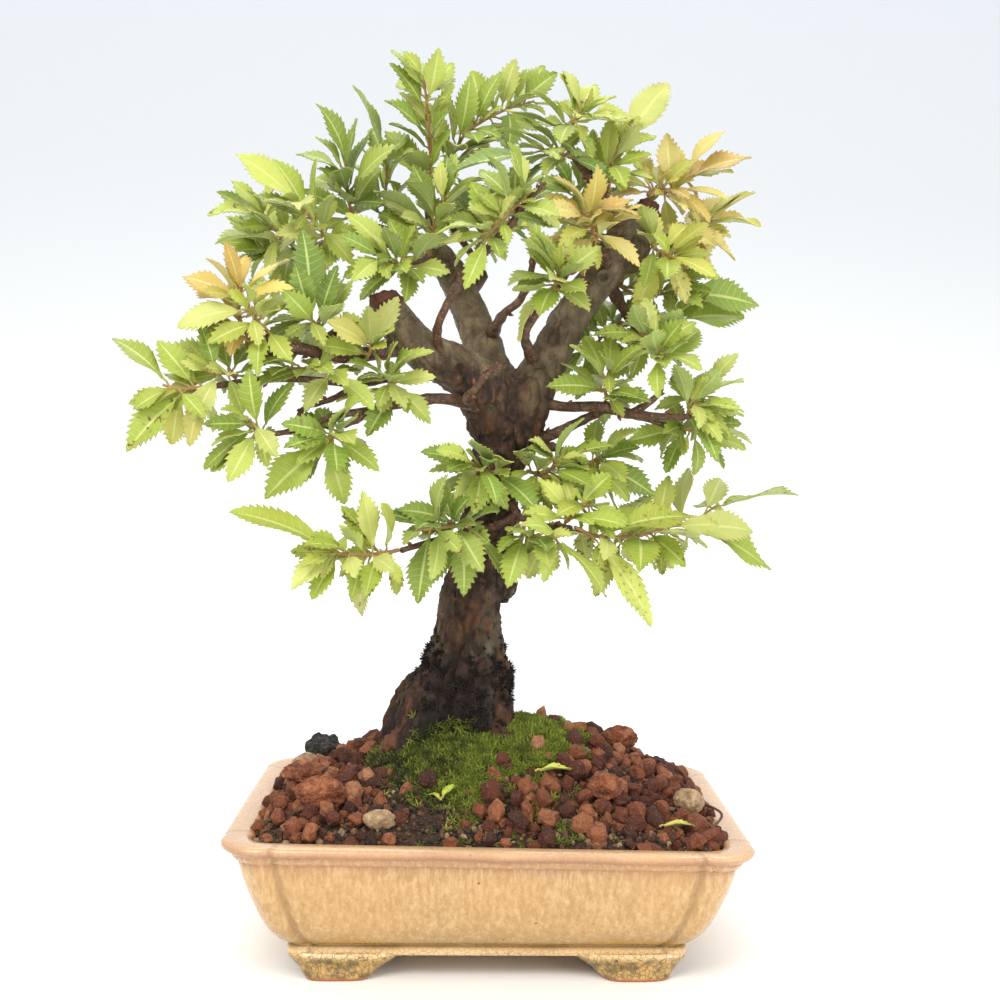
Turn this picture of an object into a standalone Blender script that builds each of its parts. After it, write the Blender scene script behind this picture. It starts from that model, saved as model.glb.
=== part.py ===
"""A small elm grown as a bonsai in a shallow glazed pot. Sizes are in millimetres, scaled to metres at the end.

The origin is the middle of the pot's footprint on the ground, +Z is up and -Y is the front.
"""

import math
import random

import bmesh
import bpy
from mathutils import Matrix, Vector
from mathutils.bvhtree import BVHTree

MM = 0.001

# Pot. LEVELS_HEIGHT is the rim height that its table of levels is written for.
RIM_HALF_X = 80.0
RIM_HALF_Y = 60.0
RIM_HEIGHT = 45.0
LEVELS_HEIGHT = 45.0
RIM_SAG = 1.2
WALL = 5.0
FLOOR_Z = 13.0
UNDERSIDE_Z = 9.0
CORNER_RADIUS = 14.0
CORNER_GROOVE = 1.5
FOOT_X = RIM_HALF_X - 37.5
FOOT_Y = RIM_HALF_Y - 22.5
FOOT_LENGTH = 36.0
FOOT_DEPTH = 20.0
DRAIN_RADIUS = 7.0
DRAIN_X = 0.4 * RIM_HALF_X
SCREEN_SIDE = 2 * DRAIN_RADIUS + 8
SCREEN_THICKNESS = 0.8

# Soil and what lies on it. The tree is planted at the level of the soil's edge, whose usual height its routes assume.
SOIL_EDGE_Z = RIM_HEIGHT - 1.5
USUAL_SOIL_EDGE_Z = 43.5
PLANTED = SOIL_EDGE_Z - USUAL_SOIL_EDGE_Z
MOUND_HEIGHT = 26.0
MOUND_REACH_X = 54.0
MOUND_REACH_Y = 38.0
MOSS_THICKNESS = 3.2
MOSS_REACH_X = 41.0
MOSS_REACH_Y = 33.0
FALLEN_LEAF = ((52, -42.5, 0), (63, -41, 0))

# Fits
GAP = 0.3
SOIL_GAP = 0.5

# Leaves
LEAF_THICKNESS = 0.45
LEAF_FOLD = 0.16
LEAF_STATIONS = (0.14, 0.42, 0.74, 1.0)
LEAF_SLIMNESS = (0.4, 0.52)
SHORTEST_LEAF = 8.0
USUAL_LEAF = 18.0
WIDEST_LEAF = 14.0
STEM_RADIUS = 0.65
CROWN_HEART_Z = 195.0 + PLANTED
FILLER_Y = 50.0
NODE_LENGTH = 0.9

# Each woody member: the points its heart passes through, with the radius there.
TRUNK = [
    (-12, 0, 52, 25), (-12, 0, 60, 23.5), (-12, 0, 66, 22), (-12, 0, 74, 20), (-11, 0, 82, 18), (-8, 0, 89, 15.5),
    (-7, 0, 97, 12.4), (-7, 0, 105, 10.5), (-6, 0, 114, 10.3), (-3, 0, 125, 10), (-1, 1, 137, 9.3),
    (0, 2, 145, 9), (1, 2, 152, 9.2), (4, 2, 160, 10), (6, 2, 168, 11.4), (6, 2, 175, 12.6), (7, 3, 181, 11),
    (8, 3, 186, 6),
]
LIMBS = [
    [(3, 0, 168, 9), (0, -1, 176, 9.5), (-4, -4, 183, 9), (-12, -8, 188, 7.6), (-20, -12, 192, 6.8),
     (-26, -16, 197, 6.4), (-31, -20, 203, 5.8), (-34, -22, 209, 4.8), (-34.5, -22.4, 210.4, 3)],
    [(5, 4, 172, 9), (3, 6, 180, 8.4), (0, 10, 190, 6.9), (-4, 16, 200, 6.2), (-9, 22, 213, 5.8), (-14, 26, 223, 5.4),
     (-21, 30, 231, 4.3), (-32, 32, 234, 3), (-49, 34, 234, 2.5), (-67, 32, 230, 1.7), (-69, 32, 229.6, 1)],
    [(8, 2, 168, 9), (11, 2, 177, 9), (16, 4, 187, 7.2), (22, 6, 197, 6.4), (27, 8, 207, 6.1), (34, 10, 217, 6.2),
     (41, 12, 226, 6.8), (47, 14, 234, 7.2), (51, 15, 240, 5.8), (54, 16, 245, 3.4), (54.6, 16, 246, 2)],
]
BRANCHES = [
    [(47, 13, 232, 4.5), (43, 11, 239, 3.6), (35, 8, 247, 2.4), (33, 8, 252, 2), (28, 6, 258, 1.7), (24, 6, 265, 1.1)],
    [(-25, -14, 195, 3.4), (-33, -18, 193, 2.9), (-41, -24, 191, 2.5), (-49, -32, 190, 2.1), (-58, -38, 192, 2),
     (-65, -42, 191, 1.9), (-71, -46, 190, 1.6)],
    [(1, -4, 175, 3), (-5, -8, 176, 2.3), (-16, -14, 178, 1.9), (-29, -22, 176, 1.7), (-37, -30, 173, 1.4),
     (-45, -34, 169, 1.1)],
    [(-35, -28, 174, 1.4), (-47, -36, 172, 1.1), (-56, -42, 168, 1), (-66, -46, 166, 0.8)],
    [(-14, -8, 186, 2.4), (-23, -14, 185, 1.6), (-32, -20, 184, 1.4), (-42, -26, 182, 1.3), (-58, -34, 183, 1.1),
     (-72, -42, 182, 1), (-82, -48, 180, 0.9)],
    [(-40, -25, 182.5, 1.1), (-49, -32, 177, 0.9), (-57, -36, 174, 0.8), (-59, -38, 169, 0.7)],
    [(-16, -13, 191, 2), (-17, -24, 199, 1.4), (-13, -30, 208, 1.4), (-7, -34, 217, 1.4), (-1, -38, 223, 1.4),
     (5, -40, 229, 1.2), (9, -42, 235, 1), (15, -44, 241, 0.8)],
    [(0, 12, 200, 2.4), (4, -2, 206, 1.5), (9, -6, 210, 1.4), (12, -8, 217, 1.2), (13, -10, 222, 1.1), (13, -12, 229, 1)],
    [(15, 2, 190, 2.4), (11, -8, 197, 1.7), (12, -10, 202, 1.5), (18, -14, 210, 1.4), (23, -18, 217, 1.3),
     (27, -20, 223, 1.1)],
    [(-3, -6, 176, 2), (-8, -15, 178, 1.4), (-5, -20, 181, 1.3), (-1, -22, 186, 1.2), (3, -24, 188, 0.9)],
    [(10, 1, 177, 3), (18, 0, 177, 2.3), (24, -2, 176, 1.8), (36, -4, 176, 2), (45, -6, 174, 1.7), (55, -8, 173, 1.3),
     (64, -10, 173, 1)],
    [(46, -6, 174, 1.3), (52, -8, 178, 1.1), (55, -8, 182, 1), (54, -9, 188, 0.8)],
    [(10, 2, 165, 3), (18, 2, 166, 2.2), (25, 2, 169, 1.8), (33, 0, 173, 1.6), (37, -3, 175, 1.4)],
    [(42, -5, 174, 1.2), (52, -2, 172, 1), (61, 2, 169, 0.8)],
    [(10, 3, 163, 3), (18, 4, 163, 2), (23, 4, 162, 1.4), (28, 4, 158, 1), (32, 4, 156, 0.8)],
    [(0, -2, 150, 2.4), (4, -12, 148, 1.6), (7, -18, 145, 1.4), (9, -21, 141, 1.3), (12, -23, 140, 1.1),
     (19, -25, 138, 0.9), (25, -27, 138, 0.8)],
    [(9, -20, 141.5, 1.3), (2, -21, 138, 1.2), (-5, -22, 136.5, 1.1), (-16, -28, 134, 1.1), (-27, -33.5, 131, 0.9)],
    [(45, 14, 234, 3), (54, 18, 234, 2.2), (60, 21, 234, 1.8), (64, 22.5, 235.5, 1.4)],
    [(37, 12, 222, 3), (44, 18, 212, 2), (48, 22, 206, 1.4), (52, 22, 202, 1)],
    [(38, 8, 223, 2.6), (37, 2, 226, 1.8), (33, -3, 229, 1.3)],
    [(-9, 22, 214, 2.6), (-3, 32, 222, 1.8), (-7, 33, 230, 1.4), (-16, 32, 243, 1.2), (-16, 30, 254, 0.9)],
    [(-19, 29, 229, 2.6), (-21, 25, 238, 1.8), (-22, 24, 247, 1.3)],
    [(-31, 32, 234, 2), (-37, 25, 237, 1.5), (-45, 14, 237, 1.1)],
    [(-47, 34, 234, 1.8), (-51, 18, 232, 1.4), (-53, 4, 230.5, 1)],
    [(-13, 25, 222, 2.4), (-20, 8, 224, 1.7), (-25, -5, 221.5, 1.2)],
    [(-31, -20, 203, 2.4), (-40, -26, 201, 1.6), (-51, -32, 196, 1.1)],
    [(-65, -42, 191.5, 1.4), (-67, -42, 195, 1.1)],
]
BARK_BURLS = [((3, 3, 125), 6.0), ((4, 3, 116), 5.6), ((46, 12, 229), 7.4)]
ROOTS = [
    [(-17, -6, 70, 8), (-27, -12, 64, 7), (-34, -17, 57, 4.6), (-40, -21, 51, 2.4)],
    [(-5, -7, 71, 8), (5, -14, 65, 7), (12, -19, 59, 4.6), (19, -23, 52, 2.2)],
    [(-20, 4, 70, 7), (-30, 9, 64, 5.6), (-38, 14, 57, 3), (-42, 17, 52, 2)],
    [(-3, 5, 71, 7), (9, 11, 65, 5.6), (17, 16, 59, 3), (22, 19, 53, 2)],
    [(-12, 9, 70, 7), (-13, 20, 64, 5), (-13, 29, 57, 2.6), (-13, 33, 52, 1.8)],
]

# Loose pieces on the soil: centre on the ground plan, size, shape, seed and material.
STONES = {
    "lava_left": ((-60, -6), 6.0, (1.3, 0.9, 0.75), 1, "lava"),
    "lava_left_low": ((-52, -33), 6.6, (1.35, 0.8, 0.8), 2, "lava"),
    "lava_right": ((36, -36), 5.6, (1.0, 0.9, 0.9), 3, "lava"),
    "lava_right_far": ((44, 6), 5.2, (1.3, 0.9, 0.9), 4, "lava"),
    "charcoal_left": ((-58, 36), 6.4, (1.1, 0.8, 1.0), 5, "charcoal"),
    "pebble_front": ((-33, -44.5), 3.9, (1.25, 0.8, 0.75), 6, "pebble"),
    "pebble_left": ((-62, 14), 4.4, (1.1, 0.9, 1.1), 7, "pebble"),
    "pebble_right": ((63, -28), 4.8, (1.0, 0.9, 0.9), 8, "pebble"),
}

# Each shoot: the points its stem passes through, then the point that each of its leaves reaches for.
SHOOTS = {
    "apex": (
        [(-22, 24, 250), (-21, 20, 263), (-22, 16, 276), (-23, 12, 285)],
        [(-37, 26, 271), (-27, 6, 260), (-14, 10, 268), (-31, 18, 269), (-36, 8, 277), (-15, 16, 281), (-34, 10, 290),
         (-18, 10, 295), (-30, 8, 296)],
    ),
    "crown_back": (
        [(-16, 30, 257), (-10, 30, 270), (2, 34, 279), (14, 38, 284)],
        [(-4, 20, 263), (5, 24, 268), (-24, 36, 284), (-18, 30, 289), (-8, 26, 289), (-4, 34, 290), (10, 34, 270),
         (3, 28, 292), (-1, 46, 288), (19, 40, 275), (24, 36, 267), (8, 30, 297), (13, 46, 289), (22, 36, 292),
         (17, 42, 296)],
    ),
    "stub_top": (
        [(24, 6, 266), (26, 6, 269), (29, 6, 272)],
        [(4, -2, 272), (15, 2, 277), (32, 8, 261), (42, 2, 271), (27, 10, 277), (34, 3, 277)],
    ),
    "stub_side": (
        [(26, 4, 258), (22, 2, 259), (17, -2, 259)],
        [(17, -9, 251), (9, -2, 269), (9, -8, 264), (5, 6, 251), (-14, -8, 251)],
    ),
    "right_top": (
        [(39, 10, 248), (40, 12, 259), (44, 14, 266), (47, 16, 271)],
        [(33, 14, 270), (42, 10, 275), (49, 8, 259), (57, 20, 269), (60, 20, 287), (70, 24, 275)],
    ),
    "right_knob": (
        [(53, 16, 249), (56, 19, 251), (61, 21, 250), (66, 22, 255)],
        [(40, 14, 241), (40, 12, 252), (51, 26, 262), (57, 20, 262), (51, 12, 251), (63, 11, 244), (71, 16, 242),
         (60, 20, 267), (74, 28, 260), (84, 26, 259)],
    ),
    "right_bronze": (
        [(66, 24, 236), (70, 26, 238), (75, 28, 241)],
        [(67, 14, 226), (71, 20, 229), (82, 36, 251), (82, 22, 229), (85, 38, 243), (93, 32, 235)],
    ),
    "right_droop": (
        [(52, 9, 230), (57, 9, 228), (61, 8, 225)],
        [(42, 2, 219), (41, 6, 207), (51, 16, 217), (70, 8, 227)],
    ),
    "inner_bronze": (
        [(33, -5, 230), (32, -7, 234), (29, -9, 238)],
        [(38, -14, 233), (31, -15, 217), (26, -16, 222), (17, -4, 227), (21, -18, 226), (9, -16, 233), (20, -8, 250),
         (15, -18, 238), (8, -14, 255)],
    ),
    "inner_right": (
        [(39, 22, 233), (33, 26, 243), (29, 28, 250)],
        [(45, 34, 251), (24, 30, 235), (38, 30, 259), (17, 36, 244), (18, 30, 254)],
    ),
    "right_mid_top": (
        [(41, 18, 220), (47, 19, 216), (55, 21, 215), (62, 24, 216)],
        [(43, 8, 207), (52, 28, 223), (56, 12, 206), (68, 14, 220), (95, 34, 213)],
    ),
    "right_mid": (
        [(50, 20, 200), (57, 23, 204), (64, 26, 207)],
        [(37, 10, 209), (44, 14, 191), (55, 16, 189), (52, 34, 214), (66, 20, 197), (73, 22, 216), (88, 32, 208)],
    ),
    "right_behind": (
        [(42, 25, 205), (37, 27, 199), (32, 28, 196)],
        [(43, 36, 208), (39, 32, 190), (35, 17, 202), (24, 26, 214), (24, 24, 188)],
    ),
    "right_front": (
        [(54, -10, 190), (53, -7, 196), (50, -2, 199)],
        [(69, 2, 202), (68, -6, 194), (66, -14, 187), (56, -10, 212), (42, -6, 189), (47, -16, 197), (60, 8, 193),
         (66, -4, 205), (49, 4, 209), (35, -6, 199)],
    ),
    "branch_top": (
        [(38, -4, 179), (37, -6, 182), (38, -8, 187)],
        [(48, -14, 178), (24, -2, 190), (21, -10, 183), (47, -12, 195), (28, -12, 193), (32, -4, 198)],
    ),
    "branch_end": (
        [(64, -8, 175), (66, -6, 178), (69, -4, 180)],
        [(60, -14, 186), (71, -12, 185), (81, -4, 174), (84, 5, 180)],
    ),
    "branch_low": (
        [(61.5, 4, 169), (65, 6, 169), (69, 8, 168)],
        [(49, 0, 166), (59, -6, 166), (89, 20, 163)],
    ),
    "back_stub": (
        [(33, 4, 156), (35, 6, 158), (38, 8, 160)],
        [(44, 0, 147), (36, 12, 168), (55, 4, 147), (53, 22, 158), (60, 14, 152)],
    ),
    "trunk_side": (
        [(16, -5, 153), (19, -8, 155), (21, -10, 158)],
        [(11, -14, 160), (23, -2, 150), (14, 3, 164), (28, 2, 161), (30, -16, 173)],
    ),
    "low_right_near": (
        [(24, -24, 139), (27, -22, 143), (31, -19, 145)],
        [(14, -30, 142), (39, -26, 139), (18, -22, 150), (39, -10, 152), (41, -16, 147), (31, -28, 155)],
    ),
    "low_right_hang": (
        [(9, -24, 136), (14, -27, 135), (20, -29, 135)],
        [(7, -30, 126), (14, -33, 125), (29, -18, 130), (36, -34, 117)],
    ),
    "low_right_long": (
        [(27, -27, 138), (33, -22, 135), (48, -6, 134), (60, 8, 136), (70, 15, 138), (78, 24, 142)],
        [(31, -14, 127), (51, -26, 107), (66, -14, 141), (45, -12, 128), (52, 12, 146), (42, 4, 145), (61, 4, 124),
         (74, 10, 129), (58, 14, 156), (93, 24, 134), (69, 24, 158), (100, 30, 120), (82, 34, 152), (110, 42, 148)],
    ),
    "low_left_end": (
        [(-28.5, -34.5, 131), (-36, -39, 130), (-47, -46, 131)],
        [(-40, -34, 113), (-32, -30, 121), (-45, -40, 145), (-43, -46, 137), (-54, -42, 124), (-53, -54, 134),
         (-73, -56, 143)],
    ),
    "low_left_near": (
        [(-6, -24.5, 138.5), (-14, -29, 138), (-22, -32, 137)],
        [(6, -31, 121), (-16, -18, 127), (-8, -34, 117), (-19, -30, 122), (-13, -28, 146), (-19, -22, 147),
         (-28, -26, 121), (-22, -38, 115), (-35, -32, 152)],
    ),
    "trunk_front": (
        [(2, -9, 154), (-1, -16, 155), (-5, -22, 157)],
        [(15, -24, 143), (4, -26, 158), (-12, -26, 145), (-19, -20, 152), (-7, -26, 168), (-22, -26, 161)],
    ),
    "left_inner": (
        [(-30, -24.5, 178.5), (-31, -26, 181), (-32, -28, 184)],
        [(-37, -30, 164), (-44, -28, 175), (-26, -24, 168), (-22, -30, 190)],
    ),
    "left_hang": (
        [(-45.5, -35, 167.5), (-47, -37, 166), (-50, -39, 164)],
        [(-41, -32, 162), (-52, -30, 172), (-55, -44, 160), (-68, -46, 147)],
    ),
    "left_low_end": (
        [(-67.5, -47, 166), (-69, -48, 168), (-71, -49, 170)],
        [(-60, -44, 180), (-78, -52, 164), (-71, -50, 182), (-82, -48, 176), (-88, -54, 168)],
    ),
    "left_mid_low": (
        [(-47, -30.5, 185), (-54, -36, 186), (-62, -40, 186)],
        [(-39, -36, 177), (-50, -26, 176), (-45, -24, 195), (-55, -36, 176), (-49, -36, 192), (-60, -28, 182),
         (-58, -42, 175), (-66, -46, 178), (-65, -38, 168), (-73, -40, 172)],
    ),
    "left_mid_end": (
        [(-76, -44, 183.5), (-79, -47, 184), (-82, -49, 184)],
        [(-62, -44, 190), (-73, -38, 191), (-78, -46, 173), (-86, -52, 173), (-91, -46, 189)],
    ),
    "left_tip": (
        [(-83.5, -48.5, 180), (-90, -52, 179), (-95, -53, 180)],
        [(-92, -54, 168), (-97, -50, 192), (-106, -56, 161), (-110.5, -52, 194)],
    ),
    "fork_yellow": (
        [(-37, -24, 194.5), (-37, -28, 193), (-38, -31, 190)],
        [(-48, -20, 201), (-29, -32, 208), (-31, -40, 197), (-35, -38, 171), (-55, -34, 192)],
    ),
    "left_upper": (
        [(-67, -42, 197), (-69, -45, 199), (-72, -47, 203)],
        [(-61, -50, 190), (-68, -52, 184), (-62, -38, 206), (-82, -50, 192), (-89, -52, 189), (-72, -36, 193),
         (-79, -40, 200), (-92, -52, 197)],
    ),
    "left_bronze": (
        [(-71.5, -43.5, 192.8), (-75, -43, 200), (-75, -44, 206), (-74, -46, 209)],
        [(-85, -42, 197), (-66, -34, 203), (-82, -38, 214), (-98, -52, 202), (-80, -52, 205), (-94, -46, 213),
         (-60, -48, 209), (-75, -36, 217), (-64, -44, 216)],
    ),
    "left_upright": (
        [(-51.5, -33, 197.5), (-54, -36, 200), (-56, -37, 202)],
        [(-43, -28, 214), (-47, -44, 203), (-47, -30, 212), (-66, -36, 199), (-57, -40, 228)],
    ),
    "centre_left": (
        [(-26, -7, 220.5), (-31, -13, 221), (-35, -18, 222)],
        [(-18, -18, 229), (-27, -20, 209), (-42, -14, 209), (-33, -26, 230), (-48, -10, 230), (-46, -26, 215),
         (-48, -22, 223)],
    ),
    "upper_left_back": (
        [(-69, 31, 228), (-73, 26, 229), (-78, 22, 229)],
        [(-70, 18, 220), (-66, 18, 236), (-86, 12, 223), (-85, 24, 238), (-94, 12, 217), (-99, 14, 231)],
    ),
    "upper_left_low": (
        [(-66, 26, 229), (-70, 12, 232), (-76, 6, 238)],
        [(-59, 22, 221), (-77, 14, 222), (-84, 0, 231), (-66, 4, 244), (-90, -2, 228), (-81, 10, 249), (-91, 6, 246),
         (-93, -6, 239), (-100, 0, 234)],
    ),
    "upper_left_front": (
        [(-53.5, 2, 230), (-57, -5, 234), (-61, -9, 239)],
        [(-52, -10, 222), (-69, -14, 229), (-51, -14, 241), (-55, -8, 256), (-73, -16, 245), (-66, -6, 258),
         (-81, -14, 255)],
    ),
    "upper_left_top": (
        [(-46.5, 12, 237.5), (-48, 7, 247), (-48, 2, 254)],
        [(-62, 0, 246), (-37, 8, 255), (-30, -6, 259), (-40, 10, 268), (-45, 2, 269), (-57, -6, 262), (-53, -2, 270)],
    ),
    "crown_left": (
        [(-36.5, 24, 239.5), (-36, 20, 251), (-35, 18, 259)],
        [(-48, 20, 246), (-24, 14, 255), (-51, 24, 260), (-27, 14, 273), (-42, 28, 272), (-46, 14, 284)],
    ),
    "crown_centre": (
        [(-21, 12, 227), (-20, 9, 233), (-18, 7, 239), (-16, 6, 243)],
        [(-30, -6, 225), (-9, -2, 231), (-39, 4, 233), (-29, -8, 237), (-37, 12, 245), (-46, 4, 240), (-7, 2, 250),
         (-28, -4, 249), (-26, 6, 256), (-12, 8, 260)],
    ),
    "centre_back": (
        [(-5, 34, 231), (-1, 33, 241), (6, 35, 245), (14, 38, 247)],
        [(-12, 40, 238), (7, 27, 237), (-12, 36, 257), (3, 26, 254), (16, 36, 233), (-4, 44, 255), (21, 44, 243),
         (9, 30, 257), (25, 40, 256)],
    ),
    "slender_twig": (
        [(-3, -38.5, 225), (3, -42, 231), (10, -44.5, 238)],
        [(-7, -42, 212), (-12, -42, 227), (5, -36, 221), (14, -46, 229), (2, -48, 241), (17, -42, 247)],
    ),
    "fork_twig": (
        [(19, -16, 212), (20, -20, 214), (21, -24, 217)],
        [(27, -26, 207), (8, -22, 196), (29, -20, 222), (15, -26, 226)],
    ),
}


def clear_scene():
    for obj in list(bpy.data.objects):
        bpy.data.objects.remove(obj, do_unlink=True)


def material(name, colour, roughness):
    mat = bpy.data.materials.new(name)
    mat.use_nodes = True
    shader = mat.node_tree.nodes["Principled BSDF"]
    shader.inputs["Base Color"].default_value = (*colour, 1)
    shader.inputs["Roughness"].default_value = roughness
    return mat


def make_object(name, points, faces, mat=None, smooth=False):
    """A mesh object from points in millimetres, with its faces turned outwards."""
    mesh = bpy.data.meshes.new(name)
    mesh.from_pydata([(x * MM, y * MM, z * MM) for x, y, z in points], [], faces)
    shell = bmesh.new()
    shell.from_mesh(mesh)
    bmesh.ops.recalc_face_normals(shell, faces=shell.faces)
    if shell.calc_volume(signed=True) < 0:
        bmesh.ops.reverse_faces(shell, faces=shell.faces)
    shell.to_mesh(mesh)
    shell.free()
    mesh.shade_smooth() if smooth else mesh.shade_flat()
    obj = bpy.data.objects.new(name, mesh)
    bpy.context.collection.objects.link(obj)
    if mat:
        mesh.materials.append(mat)
    return obj


def loft(rings):
    """Points and faces of a closed body through rings of one length, capped at both ends."""
    count = len(rings[0])
    points = [point for ring in rings for point in ring]
    faces = [tuple(range(count))[::-1]]
    for level in range(len(rings) - 1):
        low = level * count
        for i in range(count):
            j = (i + 1) % count
            faces.append((low + i, low + j, low + count + j, low + count + i))
    last = (len(rings) - 1) * count
    faces.append(tuple(range(last, last + count)))
    return points, faces


def cut(body, cutters, operation="DIFFERENCE"):
    """Applies exact Booleans, one cutter after another, then removes the cutters."""
    for cutter in cutters:
        modifier = body.modifiers.new("cut", "BOOLEAN")
        modifier.operation = operation
        modifier.solver = "EXACT"
        modifier.object = cutter
    graph = bpy.context.evaluated_depsgraph_get()
    done = bpy.data.meshes.new_from_object(body.evaluated_get(graph))
    body.modifiers.clear()
    body.data = done
    for cutter in cutters:
        bpy.data.objects.remove(cutter, do_unlink=True)


def keep_outer_shell(body):
    """Leaves only the largest shell, so a pocket shut in between joined members becomes solid."""
    mesh = bmesh.new()
    mesh.from_mesh(body.data)
    left = set(mesh.faces)
    shells = []
    while left:
        front = [left.pop()]
        shell = set(front)
        while front:
            for edge in front.pop().edges:
                for face in edge.link_faces:
                    if face in left:
                        left.remove(face)
                        shell.add(face)
                        front.append(face)
        shells.append(shell)
    shells.sort(key=len)
    for shell in shells[:-1]:
        bmesh.ops.delete(mesh, geom=list(shell), context="FACES")
    mesh.to_mesh(body.data)
    mesh.free()


def bvh_of(obj):
    points = [vertex.co / MM for vertex in obj.data.vertices]
    return BVHTree.FromPolygons(points, [tuple(face.vertices) for face in obj.data.polygons])


# The pot: thrown in a mould from stoneware, with a rolled rim and indented corners, standing on four bracket feet.


def outline(inset, corner, groove):
    """One level of the pot seen from above: straight panels that meet in round lobes, with a groove beside each lobe."""
    half_x = RIM_HALF_X - inset
    half_y = RIM_HALF_Y - inset
    quarter = [(half_x, 0), (half_x, half_y - corner - 3), (half_x - groove, half_y - corner)]
    for step in range(1, 5):
        angle = math.radians(90 * step / 5)
        quarter.append((half_x - corner * (1 - math.cos(angle)), half_y - corner * (1 - math.sin(angle))))
    quarter.append((half_x - corner, half_y - groove))
    quarter.append((half_x - corner - 3, half_y))
    right_half = quarter + [(0, half_y)] + [(-x, y) for x, y in reversed(quarter[1:])]
    return right_half + [(-half_x, 0)] + [(-x, -y) for x, y in right_half[1:]]


def raised(height):
    """A height of the table of levels in this pot: the rim and the foot keep their shapes, and the panel stretches."""
    rim_foot, panel_foot = 37.6, 13.0
    more = RIM_HEIGHT - LEVELS_HEIGHT
    return height + more * min(1, max(0, (height - panel_foot) / (rim_foot - panel_foot)))


def pot_ring(height, inset, corner, groove):
    height = raised(height)
    rise = min(1, max(0, (height - FLOOR_Z) / (RIM_HEIGHT - FLOOR_Z)))
    return [(x, y, height - RIM_SAG * rise * x / RIM_HALF_X) for x, y in outline(inset, corner, groove)]


# Height, inset from the rim, corner radius and groove depth, from the underside round the rim to the floor.
OUTER_LEVELS = [
    (UNDERSIDE_Z, 23.5, 4, 0.2), (7.6, 21.5, 4.5, 0.3), (7.4, 19.6, 4.5, 0.4), (8.4, 18.5, 4.8, 0.8),
    (10, 18.6, 5, 1), (10.9, 19.3, 5, 1), (12.2, 17, 5.5, 1.2), (15, 14.3, 6.2, CORNER_GROOVE),
    (19, 11.8, 7.2, CORNER_GROOVE), (25, 9.2, 8, CORNER_GROOVE), (32, 6.6, 9, CORNER_GROOVE), (37.6, 5, 9.5, 1.3),
    (38.8, 4.6, 10, 1.2), (40.2, 2.9, 12, 1), (41.4, 2, 13, 0.9), (42.2, 0.7, 13.5, 0.8), (43.3, 0, CORNER_RADIUS, 0.7),
    (44.4, 0.4, CORNER_RADIUS, 0.6), (45, 1.9, 13, 0.5), (44.9, 5, 11, 0.5), (44.2, 7.7, 9.5, 0.6),
    (42.8, 8.8, 9, 0.6),
]
INNER_LEVELS = [
    (38, 5 + WALL, 7.5, 0.4), (25, 9.2 + WALL, 6, 0.4), (17, 13 + WALL, 5, 0.3), (FLOOR_Z + 0.6, 22, 4, 0),
    (FLOOR_Z, 25, 3.5, 0),
]


def foot(side_x, side_y):
    """A bracket foot that flares from its sole up to the pot's bottom lip."""
    rings = []
    for height, length, depth in (
        (0, 18, 10), (0.8, 20.5, 12), (2.4, 24, 13), (4, 27.5, 14.5), (5.4, 31.5, 17), (7, FOOT_LENGTH - 1, FOOT_DEPTH),
        (8.2, FOOT_LENGTH, FOOT_DEPTH),
    ):
        centre_x = FOOT_X + 3.4 - (height / 8.2) * 2.2
        centre_y = FOOT_Y - (height / 8.2) * 5
        ring = []
        for step in range(12):
            angle = math.tau * (step + 0.5) / 12
            across = math.copysign(abs(math.cos(angle)) ** 0.6, math.cos(angle)) * length / 2
            along = math.copysign(abs(math.sin(angle)) ** 0.6, math.sin(angle)) * depth / 2
            ring.append((side_x * (centre_x + across - length * 0.02), side_y * (centre_y + along), height))
        rings.append(ring)
    return make_object("foot", *loft(rings))


def cylinder(name, x, y, low, high, radius, count=20):
    ring = [(x + radius * math.cos(math.tau * i / count), y + radius * math.sin(math.tau * i / count)) for i in range(count)]
    return make_object(name, *loft([[(a, b, low) for a, b in ring], [(a, b, high) for a, b in ring]]))


def build_pot():
    rings = [pot_ring(*level) for level in OUTER_LEVELS + INNER_LEVELS]
    pot = make_object("pot", *loft(rings), material("glazed_stoneware", (0.72, 0.45, 0.19), 0.25))
    cut(pot, [foot(x, y) for x in (-1, 1) for y in (-1, 1)], "UNION")
    cut(pot, [cylinder("drain", x, 0, UNDERSIDE_Z - 3, FLOOR_Z + 3, DRAIN_RADIUS) for x in (-DRAIN_X, DRAIN_X)])
    pot.data.shade_smooth()
    pot.data.set_sharp_from_angle(angle=math.radians(40))


# The drain screens: squares of moulded plastic net laid over the holes inside the pot.


def build_screens():
    mat = material("screen_plastic", (0.02, 0.02, 0.02), 0.5)
    half = SCREEN_SIDE / 2
    low = FLOOR_Z + GAP
    for name, middle in (("drain_screen_left", -DRAIN_X), ("drain_screen_right", DRAIN_X)):
        square = [(middle - half, -half), (middle + half, -half), (middle + half, half), (middle - half, half)]
        plate = loft([[(x, y, low) for x, y in square], [(x, y, low + SCREEN_THICKNESS) for x, y in square]])
        screen = make_object(name, *plate, mat)
        pitch = SCREEN_SIDE / 4
        cut(screen, [cylinder("mesh_hole", middle + i * pitch, j * pitch, 0, 20, pitch * 0.36, 6)
                     for i in (-1, 0, 1) for j in (-1, 0, 1)])


# The tree's wood: roots, trunk, limbs and twigs, grown as one piece.


def planted(points):
    """Points of the tree's own tables at the height where it is planted."""
    return [(x, y, z + PLANTED, *radius) for x, y, z, *radius in points]


def smooth_route(route, between):
    """The same route with points added along a smooth curve through it."""
    knots = [Vector(point) for point in route]
    done = []
    for i in range(len(knots) - 1):
        before = knots[max(i - 1, 0)]
        here, there = knots[i], knots[i + 1]
        after = knots[min(i + 2, len(knots) - 1)]
        for step in range(between):
            t = step / between
            done.append(
                0.5 * ((2 * here) + (there - before) * t + (2 * before - 5 * here + 4 * there - after) * t * t
                       + (3 * here - before - 3 * there + after) * t ** 3)
            )
    return done + [knots[-1]]


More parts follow.
